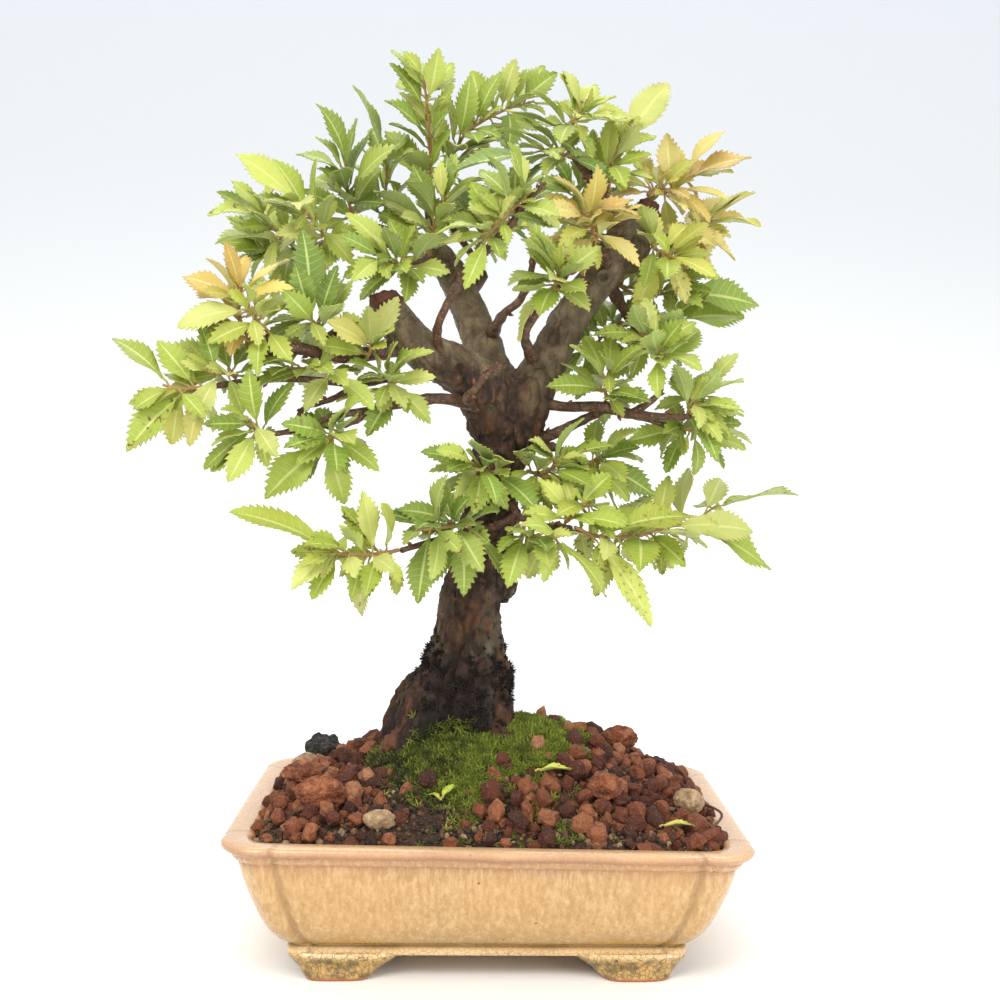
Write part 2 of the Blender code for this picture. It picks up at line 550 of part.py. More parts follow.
def frames(points):
    """A pair of steady cross directions at each point of a path."""
    pairs = []
    side = None
    for i, point in enumerate(points):
        along = (points[min(i + 1, len(points) - 1)] - points[max(i - 1, 0)]).normalized()
        if side is None:
            side = along.orthogonal().normalized()
        side = (side - along * side.dot(along)).normalized()
        pairs.append((side.copy(), along.cross(side)))
    return pairs


def limb(route, sides, rng, rough, between=1):
    """One tapered member with slightly uneven rings, rounded off at its free end."""
    stations = smooth_route(route, between) if between > 1 else [Vector(point) for point in route]
    centres = [Vector(station[:3]) for station in stations]
    radii = [station[3] for station in stations]
    ridge = [rng.uniform(-rough, rough) for _ in range(sides)]
    rings = []
    for centre, radius, (side, across) in zip(centres, radii, frames(centres)):
        ring = []
        for i in range(sides):
            angle = math.tau * i / sides
            reach = radius * (1 + ridge[i] + rng.uniform(-rough, rough) * 0.5)
            ring.append(centre + (side * math.cos(angle) + across * math.sin(angle)) * reach)
        rings.append(ring)
    return rings


def trunk_rings(extra):
    """The trunk, fluted at the foot where the roots run into it, with a hollow between the two front buttresses."""
    rng = random.Random(7)
    sides = 18
    ridge = [rng.uniform(-0.05, 0.05) for _ in range(sides)]
    rings = []
    for x, y, z, radius in planted(TRUNK):
        flare = min(1, max(0, (100 + PLANTED - z) / 40))
        ring = []
        for i in range(sides):
            angle = math.tau * i / sides
            flute = 0.13 * math.cos(2 * angle) + 0.1 * math.cos(5 * (angle + math.radians(54)))
            reach = radius * (1 + flare * flute + ridge[i] + rng.uniform(-0.02, 0.02)) + extra
            ring.append((x + reach * math.cos(angle), y + reach * 0.92 * math.sin(angle), z - extra))
        rings.append(ring)
    return rings


def lump(name, centre, radius, seed, squash=(1, 1, 1), rough=0.16, mat=None, detail=2):
    """A rough closed lump: a ball whose points are pushed in and out."""
    rng = random.Random(seed)
    shell = bmesh.new()
    bmesh.ops.create_icosphere(shell, subdivisions=detail, radius=1)
    for vertex in shell.verts:
        vertex.co *= 1 + rng.uniform(-rough, rough)
        vertex.co = Vector((vertex.co.x * squash[0], vertex.co.y * squash[1], vertex.co.z * squash[2])) * radius
    points = [vertex.co + Vector(centre) for vertex in shell.verts]
    faces = [tuple(vertex.index for vertex in face.verts) for face in shell.faces]
    shell.free()
    return make_object(name, points, faces, mat)


def build_wood():
    wood = make_object("tree_wood", *loft(trunk_rings(0)), material("bark", (0.13, 0.08, 0.045), 0.85))
    rng = random.Random(11)
    members = [make_object("limb", *loft(limb(planted(route), 10, rng, 0.06))) for route in LIMBS]
    members += [make_object("root", *loft(limb(planted(route), 8, random.Random(3), 0.0))) for route in ROOTS]
    members += [make_object("branch", *loft(limb(planted(route), 5, rng, 0.07))) for route in BRANCHES]
    members += [lump("burl", planted([centre])[0], radius, 20 + i) for i, (centre, radius) in enumerate(BARK_BURLS)]
    cut(wood, members, "UNION")
    keep_outer_shell(wood)
    wood.data.shade_smooth()
    return wood


# The soil: a gritty mix heaped up to the foot of the trunk.


def soil_height(x, y):
    mound = math.exp(-(abs(x - 2) / MOUND_REACH_X) ** 3 - (abs(y) / MOUND_REACH_Y) ** 3)
    grit = 0.5 * math.sin(x * 0.9 + 1.3 * math.sin(y * 0.7)) * math.cos(y * 0.8 + 0.6 * math.sin(x * 0.5))
    return SOIL_EDGE_Z + MOUND_HEIGHT * mound + grit


def wood_socket():
    """The room that the foot of the trunk and its roots take up, with the soil's gap round them."""
    socket = make_object("trunk_socket", *loft(trunk_rings(SOIL_GAP)[:6]))
    roots = []
    for route in ROOTS:
        wider = [Vector((x, y, z, radius + SOIL_GAP)) for x, y, z, radius in planted(route)]
        for end, inner in ((0, 1), (-1, -2)):
            step = (wider[end] - wider[inner]).xyz.normalized() * SOIL_GAP
            wider[end] = Vector((*(wider[end].xyz + step), wider[end][3]))
        roots.append(make_object("root_socket", *loft(limb(wider, 8, random.Random(3), 0.0))))
    cut(socket, roots, "UNION")
    return socket


def build_soil():
    inset_of = [(level[0], level[1], level[2]) for level in INNER_LEVELS[::-1]]
    rings = []
    low = FLOOR_Z + GAP + SCREEN_THICKNESS + GAP
    for height, inset, corner in [(low, 26, 3.5)] + [(raised(level[0]), level[1], level[2]) for level in inset_of[2:]]:
        rings.append([(x, y, height) for x, y in outline(inset + GAP + 0.2, corner, 0.4)])
    edge = outline(8.8 + GAP + 0.4, 9, 0.6)
    rings.append([(x, y, SOIL_EDGE_Z - 2.4 - RIM_SAG * x / RIM_HALF_X) for x, y in edge])
    for step in range(1, 9):
        scale = 1 - step / 9
        rings.append([(x * scale, y * scale, soil_height(x * scale, y * scale)) for x, y in edge])
    rings.append([(x * 0.04, y * 0.04, soil_height(0, 0)) for x, y in edge])
    soil = make_object("soil", *loft(rings), material("gritty_soil", (0.09, 0.045, 0.025), 0.95))
    cut(soil, [wood_socket()])
    keep_outer_shell(soil)
    return soil


def drop_height(tree, points):
    """How far a piece must rise so that all of its points stand clear of the ground under them."""
    rise = -200.0
    for point in points:
        spot = tree.ray_cast(Vector((point[0], point[1], 300)), Vector((0, 0, -1)))[0]
        if spot is not None:
            rise = max(rise, spot.z + 2 * GAP - point[2])
    return rise


# The moss: one low cushion grown round the foot of the trunk.


def build_moss(soil):
    tree = bvh_of(soil)
    rng = random.Random(4)
    steps = 30
    top, bottom = [], []
    for i in range(steps):
        angle = math.tau * i / steps
        across, along = math.cos(angle), math.sin(angle)
        far = 1 + 0.1 * math.sin(3 * angle + 1) + rng.uniform(-0.06, 0.06)
        upper, lower = [], []
        for part in (0.0, 0.3, 0.65, 1.0):
            reach_x = 20 + (MOSS_REACH_X * far - 20) * part
            reach_y = 17 + (MOSS_REACH_Y * far - 17) * part
            x, y = -6 + reach_x * across, reach_y * along
            spot = tree.ray_cast(Vector((x, y, 300)), Vector((0, 0, -1)))[0]
            ground = max(spot.z if spot else 0, soil_height(x, y))
            lower.append((x, y, ground + 0.9))
            upper.append((x, y, ground + 0.9 + MOSS_THICKNESS * (1 - 0.75 * part * part) * rng.uniform(0.75, 1.1)))
        top.append(upper)
        bottom.append(lower)
    points, faces = [], []
    for upper, lower in zip(top, bottom):
        points += upper + lower[::-1]
    for i in range(steps):
        here, there = 8 * i, 8 * ((i + 1) % steps)
        for k in range(8):
            m = (k + 1) % 8
            faces.append((here + k, here + m, there + m, there + k))
    moss = make_object("moss", points, faces, material("moss", (0.12, 0.19, 0.02), 0.95))
    cut(moss, [wood_socket()])
    keep_outer_shell(moss)
    return moss


# The loose pieces: lava, charcoal and pebbles larger than the rest of the mix, and one fallen leaf.


def build_stones(soil):
    tree = bvh_of(soil)
    mats = {
        "lava": material("lava", (0.19, 0.06, 0.03), 0.9),
        "charcoal": material("charcoal", (0.03, 0.03, 0.028), 0.9),
        "pebble": material("pebble", (0.3, 0.22, 0.14), 0.7),
    }
    for name, ((x, y), size, squash, seed, kind) in STONES.items():
        stone = lump("stone_" + name, (x, y, 0), size, seed, squash, 0.13, mats[kind])
        points = [vertex.co / MM for vertex in stone.data.vertices]
        stone.data.transform(Matrix.Translation((0, 0, drop_height(tree, points) * MM)))


def build_fallen_leaf(soil, mat):
    root, tip = Vector(FALLEN_LEAF[0]), Vector(FALLEN_LEAF[1])
    along = (tip - root).normalized()
    side = along.cross(Vector((0, 0, 1))).normalized()
    upper = side.cross(along)
    midrib = [root.lerp(tip, part) + upper * 1.2 * math.sin(math.pi * part) for part in LEAF_STATIONS]
    points, faces = blade_solid((midrib, side, upper, 4.6), 0.0, root)
    rise = drop_height(bvh_of(soil), points)
    make_object("fallen_leaf", [point + Vector((0, 0, rise)) for point in points], faces, mat)


# The leafy shoots: thin stems with toothed leaves set alternately, each shoot and its leaves grown as one piece.


class Crowd:
    """What is already in the crown, so that nothing new is grown through it."""

    def __init__(self):
        self.grown = []

    @staticmethod
    def reach(points):
        low = [min(point[axis] for point in points) for axis in range(3)]
        high = [max(point[axis] for point in points) for axis in range(3)]
        return low, high

    def clear_of(self, points, faces, skip=None):
        low, high = self.reach(points)
        tree = BVHTree.FromPolygons(points, faces)
        for owner, other, other_low, other_high in self.grown:
            if owner == skip:
                continue
            if any(low[axis] > other_high[axis] or high[axis] < other_low[axis] for axis in range(3)):
                continue
            if tree.overlap(other):
                return False
        return True

    def add(self, owner, points, faces):
        self.grown.append((owner, BVHTree.FromPolygons(points, faces), *self.reach(points)))


def leaf_plan(root, tip, width, rng):
    """Where one leaf lies: points along its midrib, with the side and upper directions of its blade."""
    along = tip - root
    length = along.length
    along = along / length
    facing = Vector((rng.uniform(-0.45, 0.45), rng.uniform(-1.1, -0.1), rng.uniform(0.35, 1.05)))
    upper = (facing - along * facing.dot(along)).normalized()
    side = along.cross(upper)
    arch = rng.uniform(0.03, 0.11) * length
    midrib = []
    for part in LEAF_STATIONS:
        midrib.append(root + along * length * part + upper * arch * math.sin(math.pi * min(part, 0.999)))
    return midrib, side, upper, width


def leaf_rings(plan, grow=0.0):
    """Rings of four points, left, upper, right and lower, at two stations of the blade, and its tip."""
    midrib, side, upper, width = plan
    rings = []
    for centre, share in ((midrib[1], 1.0), (midrib[2], 0.8)):
        half = width * share / 2 + grow
        fold = upper * half * LEAF_FOLD
        thick = upper * (LEAF_THICKNESS / 2 + grow)
        rings.append([centre - side * half + fold, centre + thick, centre + side * half + fold, centre - thick])
    return rings, midrib[3] + (midrib[3] - midrib[2]).normalized() * grow


def blade_solid(plan, grow, start):
    """The leaf from a start point on, as a closed body larger all round by the gap to be kept."""
    rings, tip = leaf_rings(plan, grow)
    _, side, upper, _ = plan
    thin = 0.4 + grow / 2
    points = [start - side * thin, start + upper * thin, start + side * thin, start - upper * thin]
    points += rings[0] + rings[1] + [tip]
    faces = [(3, 2, 1, 0)]
    for low in (0, 4):
        for i in range(4):
            j = (i + 1) % 4
            faces.append((low + i, low + j, low + 4 + j, low + 4 + i))
    faces += [(8 + i, 8 + (i + 1) % 4, 12) for i in range(4)]
    return points, faces


def stem_path(route, wood_tree, drift):
    """The stem's own path: it starts just clear of the wood and keeps clear of it."""
    clear = STEM_RADIUS + GAP + 0.15
    path = []
    for i, point in enumerate(smooth_route(route, 3)):
        point = point + drift * min(1, i / 3)
        spot, normal, _, distance = wood_tree.find_nearest(point)
        inside = (point - spot).dot(normal) < 0
        if i == 0 or inside or distance < clear:
            point = spot + normal * clear
        path.append(point)
    return path


def point_at(path, distance):
    """The point that far along a path, which is carried on straight beyond its end."""
    for a, b in zip(path, path[1:]):
        step = (b - a).length
        if distance <= step:
            return a.lerp(b, distance / step)
        distance -= step
    return path[-1] + (path[-1] - path[-2]).normalized() * distance


def grow_stem(path, leaf_count):
    """The stem as a three-sided body that has one short length, a node, for each leaf."""
    total = sum((b - a).length for a, b in zip(path, path[1:]))
    room = (total - 0.6) / leaf_count
    half_node = min(NODE_LENGTH / 2, room * 0.4)
    stations = [0.0]
    for i in range(leaf_count):
        middle = 0.6 + room * (i + 0.5)
        stations += [middle - half_node, middle + half_node]
    stations.append(total + 0.8)
    centres = [point_at(path, station) for station in stations]
    rings = []
    for k, (centre, (side, across)) in enumerate(zip(centres, frames(centres))):
        radius = STEM_RADIUS * (1 - 0.35 * k / len(centres))
        rings.append([centre + (side * math.cos(math.tau * i / 3) + across * math.sin(math.tau * i / 3)) * radius
                      for i in range(3)])
    points, faces = loft(rings)
    return points, faces, centres


def with_fillers(route, tips, rng):
    """The named leaves, with a smaller one after every third that fills out the shoot."""
    done = []
    for i, tip in enumerate(tips):
        done.append(tip)
        if i % 3 == 2:
            centre = point_at([Vector(point) for point in route], 8.0)
            heading = Vector((centre.x, centre.y, centre.z - CROWN_HEART_Z)).normalized()
            turn = Vector([rng.uniform(-1, 1) for _ in range(3)])
            filler = centre + (heading * 0.6 + turn).normalized() * rng.uniform(15, 21)
            filler.y = max(-FILLER_Y, min(FILLER_Y, filler.y))
            done.append(filler)
    return done


class Shoot:
    """One stem with its leaves. Every leaf grows out of a side of the stem, so that the whole is one closed body."""

    def __init__(self, name, route, tips, wood_tree, crowd, rng):
        self.name = name
        self.tips = tips
        for attempt in range(40):
            drift = Vector([rng.uniform(-0.1, 0.1) * attempt for _ in range(3)])
            path = stem_path(route, wood_tree, drift)
            self.points, self.faces, self.centres = grow_stem(path, len(tips))
            if crowd.clear_of(self.points, self.faces):
                break
        crowd.add(name, list(self.points), list(self.faces))
        self.stem = BVHTree.FromPolygons(self.points, self.faces)

    def open_side(self, number, centre, goal):
        """The side of the node that looks most towards the goal."""
        low = 3 * (1 + 2 * number)
        sides = [(low + i, low + (i + 1) % 3, low + 3 + (i + 1) % 3, low + 3 + i) for i in range(3)]
        middles = [sum((self.points[k] for k in quad), Vector()) / 4 for quad in sides]
        looks = [(middle - centre).normalized().dot((goal - centre).normalized()) for middle in middles]
        best = looks.index(max(looks))
        return sides[best], middles[best]

    def add_leaf(self, number, tip, crowd, rng):
        centre = (self.centres[1 + 2 * number] + self.centres[2 + 2 * number]) / 2
        for attempt in range(60):
            spread = 0.25 * attempt
            goal = Vector(tip) + Vector([rng.uniform(-spread, spread) for _ in range(3)])
            if attempt > 30:
                goal = centre.lerp(goal, 0.8)
            reach = (goal - centre).length
            if attempt <= 30 and reach < USUAL_LEAF:
                reach = min(USUAL_LEAF, reach * 1.4)
            goal = centre + (goal - centre).normalized() * max(SHORTEST_LEAF, reach)
            quad, root = self.open_side(number, centre, goal)
            width = min(WIDEST_LEAF, (goal - root).length * rng.uniform(*LEAF_SLIMNESS))
            plan = leaf_plan(root, goal, width, rng)
            outer = BVHTree.FromPolygons(*blade_solid(plan, 0.0, plan[0][0]))
            if outer.overlap(self.stem) or not crowd.clear_of(*blade_solid(plan, GAP, root), skip=self.name):
                continue
            if self.join_leaf(quad, plan):
                crowd.add((self.name, number), *blade_solid(plan, 0.0, root))
                return plan
        return None

    def join_leaf(self, quad, plan):
        """Runs the leaf's rings on from one side of the stem, turned so that they twist least, if nothing crosses."""
        rings, end = leaf_rings(plan)
        first = len(self.points)
        points = self.points + rings[0] + rings[1] + [end]
        turns = [quad[turn:] + quad[:turn] for turn in range(4)]
        start = min(turns, key=lambda turn: sum((points[k] - p).length for k, p in zip(turn, rings[0])))
        levels = [start, [first + i for i in range(4)], [first + 4 + i for i in range(4)]]
        added = [(levels[2][i], levels[2][(i + 1) % 4], first + 8) for i in range(4)]
        for low, high in zip(levels, levels[1:]):
            for i in range(4):
                j = (i + 1) % 4
                added.append((low[i], low[j], high[j], high[i]))
        faces = [face for face in self.faces if face != quad] + added
        new, whole = BVHTree.FromPolygons(points, added), BVHTree.FromPolygons(points, faces)
        if any(not set(added[a]) & set(faces[b]) for a, b in new.overlap(whole)):
            return False
        self.points, self.faces = points, faces
        return True


def build_shoots(wood, mat):
    wood_tree = bvh_of(wood)
    crowd = Crowd()
    crowd.add("wood", [vertex.co / MM for vertex in wood.data.vertices],
              [tuple(face.vertices) for face in wood.data.polygons])
    rng = random.Random(5)
    shoots = []
    for name, (route, tips) in SHOOTS.items():
        route, tips = planted(route), planted(tips)
        shoots.append(Shoot(name, route, with_fillers(route, tips, rng), wood_tree, crowd, rng))
    placed = 0
    for shoot in shoots:
        for number, tip in enumerate(shoot.tips):
            placed += shoot.add_leaf(number, tip, crowd, rng) is not None
    for shoot in shoots:
        make_object("shoot_" + shoot.name, shoot.points, shoot.faces, mat)
    print("leaves placed:", placed, "of", sum(len(shoot.tips) for shoot in shoots))


def main():
    clear_scene()
    build_pot()
    build_screens()
    soil = build_soil()
    build_moss(soil)
    build_stones(soil)
    wood = build_wood()
    leaf = material("leaf", (0.33, 0.46, 0.06), 0.5)
    build_fallen_leaf(soil, leaf)
    build_shoots(wood, leaf)


main()
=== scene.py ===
"""A small elm grown as a bonsai in a glazed stoneware pot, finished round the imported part, pot first."""

import math
import random

import bmesh
import bpy
import numpy as np
from mathutils import Matrix, Vector, noise
from mathutils.bvhtree import BVHTree


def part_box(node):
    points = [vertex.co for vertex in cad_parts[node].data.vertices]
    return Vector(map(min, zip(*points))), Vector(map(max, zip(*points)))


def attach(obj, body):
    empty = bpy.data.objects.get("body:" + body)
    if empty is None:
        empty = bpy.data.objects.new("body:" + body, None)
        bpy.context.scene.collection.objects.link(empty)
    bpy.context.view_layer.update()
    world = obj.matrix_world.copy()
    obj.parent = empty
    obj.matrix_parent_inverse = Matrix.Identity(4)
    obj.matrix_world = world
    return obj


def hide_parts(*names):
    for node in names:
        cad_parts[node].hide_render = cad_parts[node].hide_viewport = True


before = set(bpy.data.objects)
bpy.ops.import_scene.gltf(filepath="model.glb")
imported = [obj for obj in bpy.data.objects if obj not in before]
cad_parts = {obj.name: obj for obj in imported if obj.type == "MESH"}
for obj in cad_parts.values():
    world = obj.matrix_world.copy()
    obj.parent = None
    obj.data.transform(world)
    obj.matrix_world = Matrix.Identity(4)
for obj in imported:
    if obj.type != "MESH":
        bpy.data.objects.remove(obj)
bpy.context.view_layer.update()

# ----------------------------------------------------------------------------------------------------
# The pot. Stoneware pressed in a mould: four upright panels with a round lobe at each corner, a rolled rim,
# and four bracket feet. It is fired in a runny honey glaze that breaks pale and pink on edges and pools olive
# in the grooves; its colour bands by height also hold painted light: highlights on the lower lip and the rim's
# top, and painted shade under the rim's steps and in the groove above the lower lip. The soles of the feet are
# wiped bare. Sizes are in millimetres here and below.

MM = 0.001
RIM_HALF_X = 80.0
RIM_HALF_Y = 60.0
RIM_HEIGHT = 45.0
RIM_SAG = 1.2
POT_FLOOR_Z = 13.0
FOOT_MIDDLE = (42.5, 37.5)
DRAIN_RADIUS = 7.0
DRAIN_X = 32.0
# Height, inset from the rim, corner radius and groove depth, from the underside over the rim to the floor.
POT_LEVELS = [
    (9, 23.5, 4, 0.2), (7.6, 21.5, 4.5, 0.3), (7.4, 19.6, 4.5, 0.5), (8.4, 18.5, 4.8, 0.9),
    (10, 18.6, 5, 1.1), (10.9, 19.4, 5, 1.2), (12.2, 17, 5.5, 1.6), (15, 14.3, 6.2, 2.0),
    (19, 11.8, 7.2, 2.1), (25, 9.2, 8, 2.1), (32, 6.6, 9, 2.0), (37.4, 5.1, 9.5, 1.7), (38.6, 4.9, 9.8, 1.5),
    (39.4, 3.6, 10.6, 1.3), (40.4, 2.9, 11.6, 1.1), (41.3, 2.6, 12.2, 1.0), (41.9, 1.1, 13.2, 1.0),
    (42.9, 0.1, 14, 0.9), (44, 0.1, 14, 0.8), (44.8, 1.2, 13.4, 0.7), (45.1, 3, 12.2, 0.6),
    (44.9, 5.4, 11, 0.6), (44.3, 7.6, 9.6, 0.6), (42.8, 8.8, 9, 0.6), (38, 10, 7.5, 0.5), (25, 14.2, 6, 0.5),
    (17, 18, 5, 0.4), (13.6, 22, 4, 0.1), (POT_FLOOR_Z, 25, 3.5, 0.0),
]


def paint(red, green, blue):
    """A shader colour from the three values of a paint swatch, each up to 255."""
    return tuple((value / 255 / 12.92) if value < 10 else ((value / 255 + 0.055) / 1.055) ** 2.4
                 for value in (red, green, blue)) + (1.0,)


class Finish:
    """A surface finish, to which nodes are added one at a time."""

    def __init__(self, name):
        self.material = bpy.data.materials.new(name)
        self.material.use_nodes = True
        self.tree = self.material.node_tree
        self.shader = self.tree.nodes["Principled BSDF"]
        self.place = self.tree.nodes.new("ShaderNodeTexCoord").outputs["Object"]

    def put(self, socket, value):
        if isinstance(value, bpy.types.NodeSocket):
            self.tree.links.new(value, socket)
        else:
            socket.default_value = value

    def add(self, kind, inputs=None, **settings):
        node = self.tree.nodes.new("ShaderNode" + kind)
        for key, value in settings.items():
            setattr(node, key, value)
        for key, value in (inputs or {}).items():
            self.put(node.inputs[key], value)
        return node

    def sized(self, across, along=None, up=None):
        """Object coordinates counted in steps of so many millimetres along each axis."""
        scale = [1 / (size * MM) for size in (across, along or across, up or along or across)]
        return self.add("Mapping", {"Vector": self.place, "Scale": scale}).outputs[0]

    def noise(self, place, detail=3.0, roughness=0.55, distortion=0.0):
        wanted = {"Vector": place, "Scale": 1.0, "Detail": detail, "Roughness": roughness,
                  "Distortion": distortion}
        return self.add("TexNoise", wanted).outputs["Fac"]

    def cells(self, place, feature="F1", randomness=1.0):
        wanted = {"Vector": place, "Scale": 1.0, "Randomness": randomness}
        return self.add("TexVoronoi", wanted, feature=feature).outputs["Distance"]

    def reads(self, name, output="Fac"):
        return self.add("Attribute", attribute_name=name).outputs[output]

    def steps(self, value, low, high, to_low=0.0, to_high=1.0):
        """The value stretched from one range to another, held at both ends."""
        wanted = {"Value": value, "From Min": low, "From Max": high, "To Min": to_low, "To Max": to_high}
        return self.add("MapRange", wanted, interpolation_type="SMOOTHSTEP").outputs["Result"]

    def ramp(self, value, stops):
        node = self.add("ValToRGB", {"Fac": value})
        elements = node.color_ramp.elements
        while len(elements) < len(stops):
            elements.new(1.0)
        for element, (position, colour) in zip(elements, stops):
            element.position = position
            element.color = colour
        return node.outputs["Color"]

    def maths(self, how, first, second=0.0):
        return self.add("Math", {0: first, 1: second}, operation=how).outputs[0]

    def times(self, first, second):
        return self.maths("MULTIPLY", first, second)

    def plus(self, first, second):
        return self.maths("ADD", first, second)

    def most(self, first, second):
        return self.maths("MAXIMUM", first, second)

    def mix(self, share, first, second, how="MIX"):
        node = self.add("Mix", {0: share, 6: first, 7: second}, data_type="RGBA", blend_type=how)
        return node.outputs[2]

    def bump(self, height, depth, under=None, strength=1.0):
        wanted = {"Height": height, "Distance": depth * MM, "Strength": strength}
        if under:
            wanted["Normal"] = under
        return self.add("Bump", wanted).outputs["Normal"]

    def set(self, **values):
        """Sets sockets of the shader: the words of a socket's name are joined by underscores."""
        for key, value in values.items():
            self.put(self.shader.inputs[key.replace("_", " ").title().replace("Ior", "IOR")], value)
        return self.material


def make_object(name, points, faces, mat=None):
    """A mesh object from points in millimetres, with its faces turned outwards."""
    mesh = bpy.data.meshes.new(name)
    mesh.from_pydata([(x * MM, y * MM, z * MM) for x, y, z in points], [], faces)
    shell = bmesh.new()
    shell.from_mesh(mesh)
    bmesh.ops.recalc_face_normals(shell, faces=shell.faces)
    if shell.calc_volume(signed=True) < 0:
        bmesh.ops.reverse_faces(shell, faces=shell.faces)
    shell.to_mesh(mesh)
    shell.free()
    obj = bpy.data.objects.new(name, mesh)
    bpy.context.collection.objects.link(obj)
    if mat:
        mesh.materials.append(mat)
    return obj


def loft(rings):
    """Points and faces of a closed body through rings of one length, capped at both ends."""
    count = len(rings[0])
    points = [point for ring in rings for point in ring]
    faces = [tuple(range(count))[::-1]]
    for level in range(len(rings) - 1):
        low = level * count
        for i in range(count):
            j = (i + 1) % count
            faces.append((low + i, low + j, low + count + j, low + count + i))
    last = (len(rings) - 1) * count
    faces.append(tuple(range(last, last + count)))
    return points, faces


def applied(body):
    """Makes a body's modifiers part of its mesh."""
    bpy.context.view_layer.update()
    graph = bpy.context.evaluated_depsgraph_get()
    done = bpy.data.meshes.new_from_object(body.evaluated_get(graph))
    body.modifiers.clear()
    body.data = done
    return body


def cut(body, cutters, operation="DIFFERENCE"):
    """Applies exact Booleans, one cutter after another, then removes the cutters."""
    for cutter in cutters:
        modifier = body.modifiers.new("cut", "BOOLEAN")
        modifier.operation = operation
        modifier.solver = "EXACT"
        modifier.object = cutter
    applied(body)
    for cutter in cutters:
        bpy.data.objects.remove(cutter, do_unlink=True)


def note(obj, name, values):
    """Writes one value per point of a mesh, for its surface or its Geometry Nodes to read."""
    obj.data.attributes.new(name, "FLOAT", "POINT").data.foreach_set("value", values)


def finished(piece, slot, *nodes):
    """Puts a finished piece on the body and hides the CAD nodes that it stands for."""
    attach(piece, "root")
    if nodes:
        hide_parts(*nodes)
    return piece


def smooth_values(knots, between):
    """Rows of numbers joined by a smooth curve through them."""
    rows = []
    for i in range(len(knots) - 1):
        before, here = knots[max(i - 1, 0)], knots[i]
        there, after = knots[i + 1], knots[min(i + 2, len(knots) - 1)]
        for step in range(between):
            t = step / between
            rows.append([
                0.5 * (2 * b + (c - a) * t + (2 * a - 5 * b + 4 * c - d) * t * t
                       + (3 * b - a - 3 * c + d) * t ** 3)
                for a, b, c, d in zip(before, here, there, after)
            ])
    return rows + [list(knots[-1])]


def pot_outline(inset, corner, groove):
    """One level of the pot from above, and how deep in a corner groove each of its points lies."""
    half_x, half_y = RIM_HALF_X - inset, RIM_HALF_Y - inset
    width = 5.0

    def side(reach, far):
        straight = [(reach, far * i / 10, 0.0) for i in range(10)]
        notch = []
        for i in range(9):
            dip = 0.5 + 0.5 * math.cos(math.pi * (i - 4) / 4)
            notch.append((reach - 0.7 * groove * dip, far + width * i / 8, dip))
        return straight + notch

    quarter = side(half_x, half_y - corner - width)
    for i in range(1, 13):
        angle = math.radians(90 * i / 13)
        bulge = corner + 0.04 * corner * math.sin(2 * angle)
        quarter.append((half_x - corner + bulge * math.cos(angle), half_y - corner + bulge * math.sin(angle),
                        0.0))
    quarter += [(y, x, dip) for x, y, dip in reversed(side(half_y, half_x - corner - width)[1:])]
    right = quarter + [(0, half_y, 0.0)] + [(-x, y, dip) for x, y, dip in reversed(quarter[1:])]
    return right + [(-half_x, 0, 0.0)] + [(-x, -y, dip) for x, y, dip in right[1:]]


def sag_at(x, height):
    """How far the kiln pulled this spot of the wall down: the pot leans a little to the right."""
    return RIM_SAG * min(1, max(0, (height - POT_FLOOR_Z) / (RIM_HEIGHT - POT_FLOOR_Z))) * x / RIM_HALF_X


def pot_shell():
    rings = []
    pools = {}
    for height, inset, corner, groove in smooth_values(POT_LEVELS, 4):
        ring = []
        for x, y, dip in pot_outline(inset, max(corner, 1), max(groove, 0)):
            ripple = noise.noise(Vector((x / 26, y / 26, height / 16)))
            wave = 0.22 * ripple * min(1, max(0, (height - 9) / 8))
            shrink = 1 + wave / 70
            point = (x * shrink, y * shrink, height - sag_at(x, height) + 0.25 * wave)
            ring.append(point)
            pools[tuple(round(value, 2) for value in point)] = dip
        rings.append(ring)
    return make_object("glazed_pot", *loft(rings)), pools


def pot_foot(side_x, side_y):
    """A bracket foot: a short bar that flares into the pot's bottom lip, with a curled end on each side."""
    rings = []
    levels = smooth_values([(0, 17.6, 9.6), (0.7, 20.2, 11.6), (2.2, 23.6, 12.8), (3.8, 27, 14.3),
                            (5.3, 31, 16.8), (6.8, 34.8, 19.6), (8.4, 36, 20)], 3)
    for height, length, depth in levels:
        ring = []
        for step in range(44):
            angle = math.tau * step / 44
            across = math.copysign(abs(math.cos(angle)) ** 0.62, math.cos(angle)) * length / 2
            along = math.copysign(abs(math.sin(angle)) ** 0.62, math.sin(angle)) * depth / 2
            scallop = 0.35 * math.sin(3 * angle + side_x) * (1 - height / 9)
            middle_x = FOOT_MIDDLE[0] + 3.4 - height / 8.2 * 2.2
            middle_y = FOOT_MIDDLE[1] - height / 8.2 * 5
            ring.append((side_x * (middle_x + across + scallop), side_y * (middle_y + along + scallop * 0.5),
                         height))
        rings.append(ring)
    return make_object("foot", *loft(rings))


def drain_cutter(x):
    ring = [(x + DRAIN_RADIUS * math.cos(math.tau * i / 32), DRAIN_RADIUS * math.sin(math.tau * i / 32))
            for i in range(32)]
    return make_object("drain", *loft([[(a, b, 5) for a, b in ring], [(a, b, 16) for a, b in ring]]))


pot, pools = pot_shell()
cut(pot, [pot_foot(x, y) for x in (-1, 1) for y in (-1, 1)], "UNION")
cut(pot, [drain_cutter(-DRAIN_X), drain_cutter(DRAIN_X)])
pot.data.shade_smooth()
pot.data.set_sharp_from_angle(angle=math.radians(42))
spots = [vertex.co / MM for vertex in pot.data.vertices]
note(pot, "level", [z + sag_at(x, z) for x, y, z in spots])
note(pot, "pool", [pools.get((round(x, 2), round(y, 2), round(z, 2)), 0.0) for x, y, z in spots])

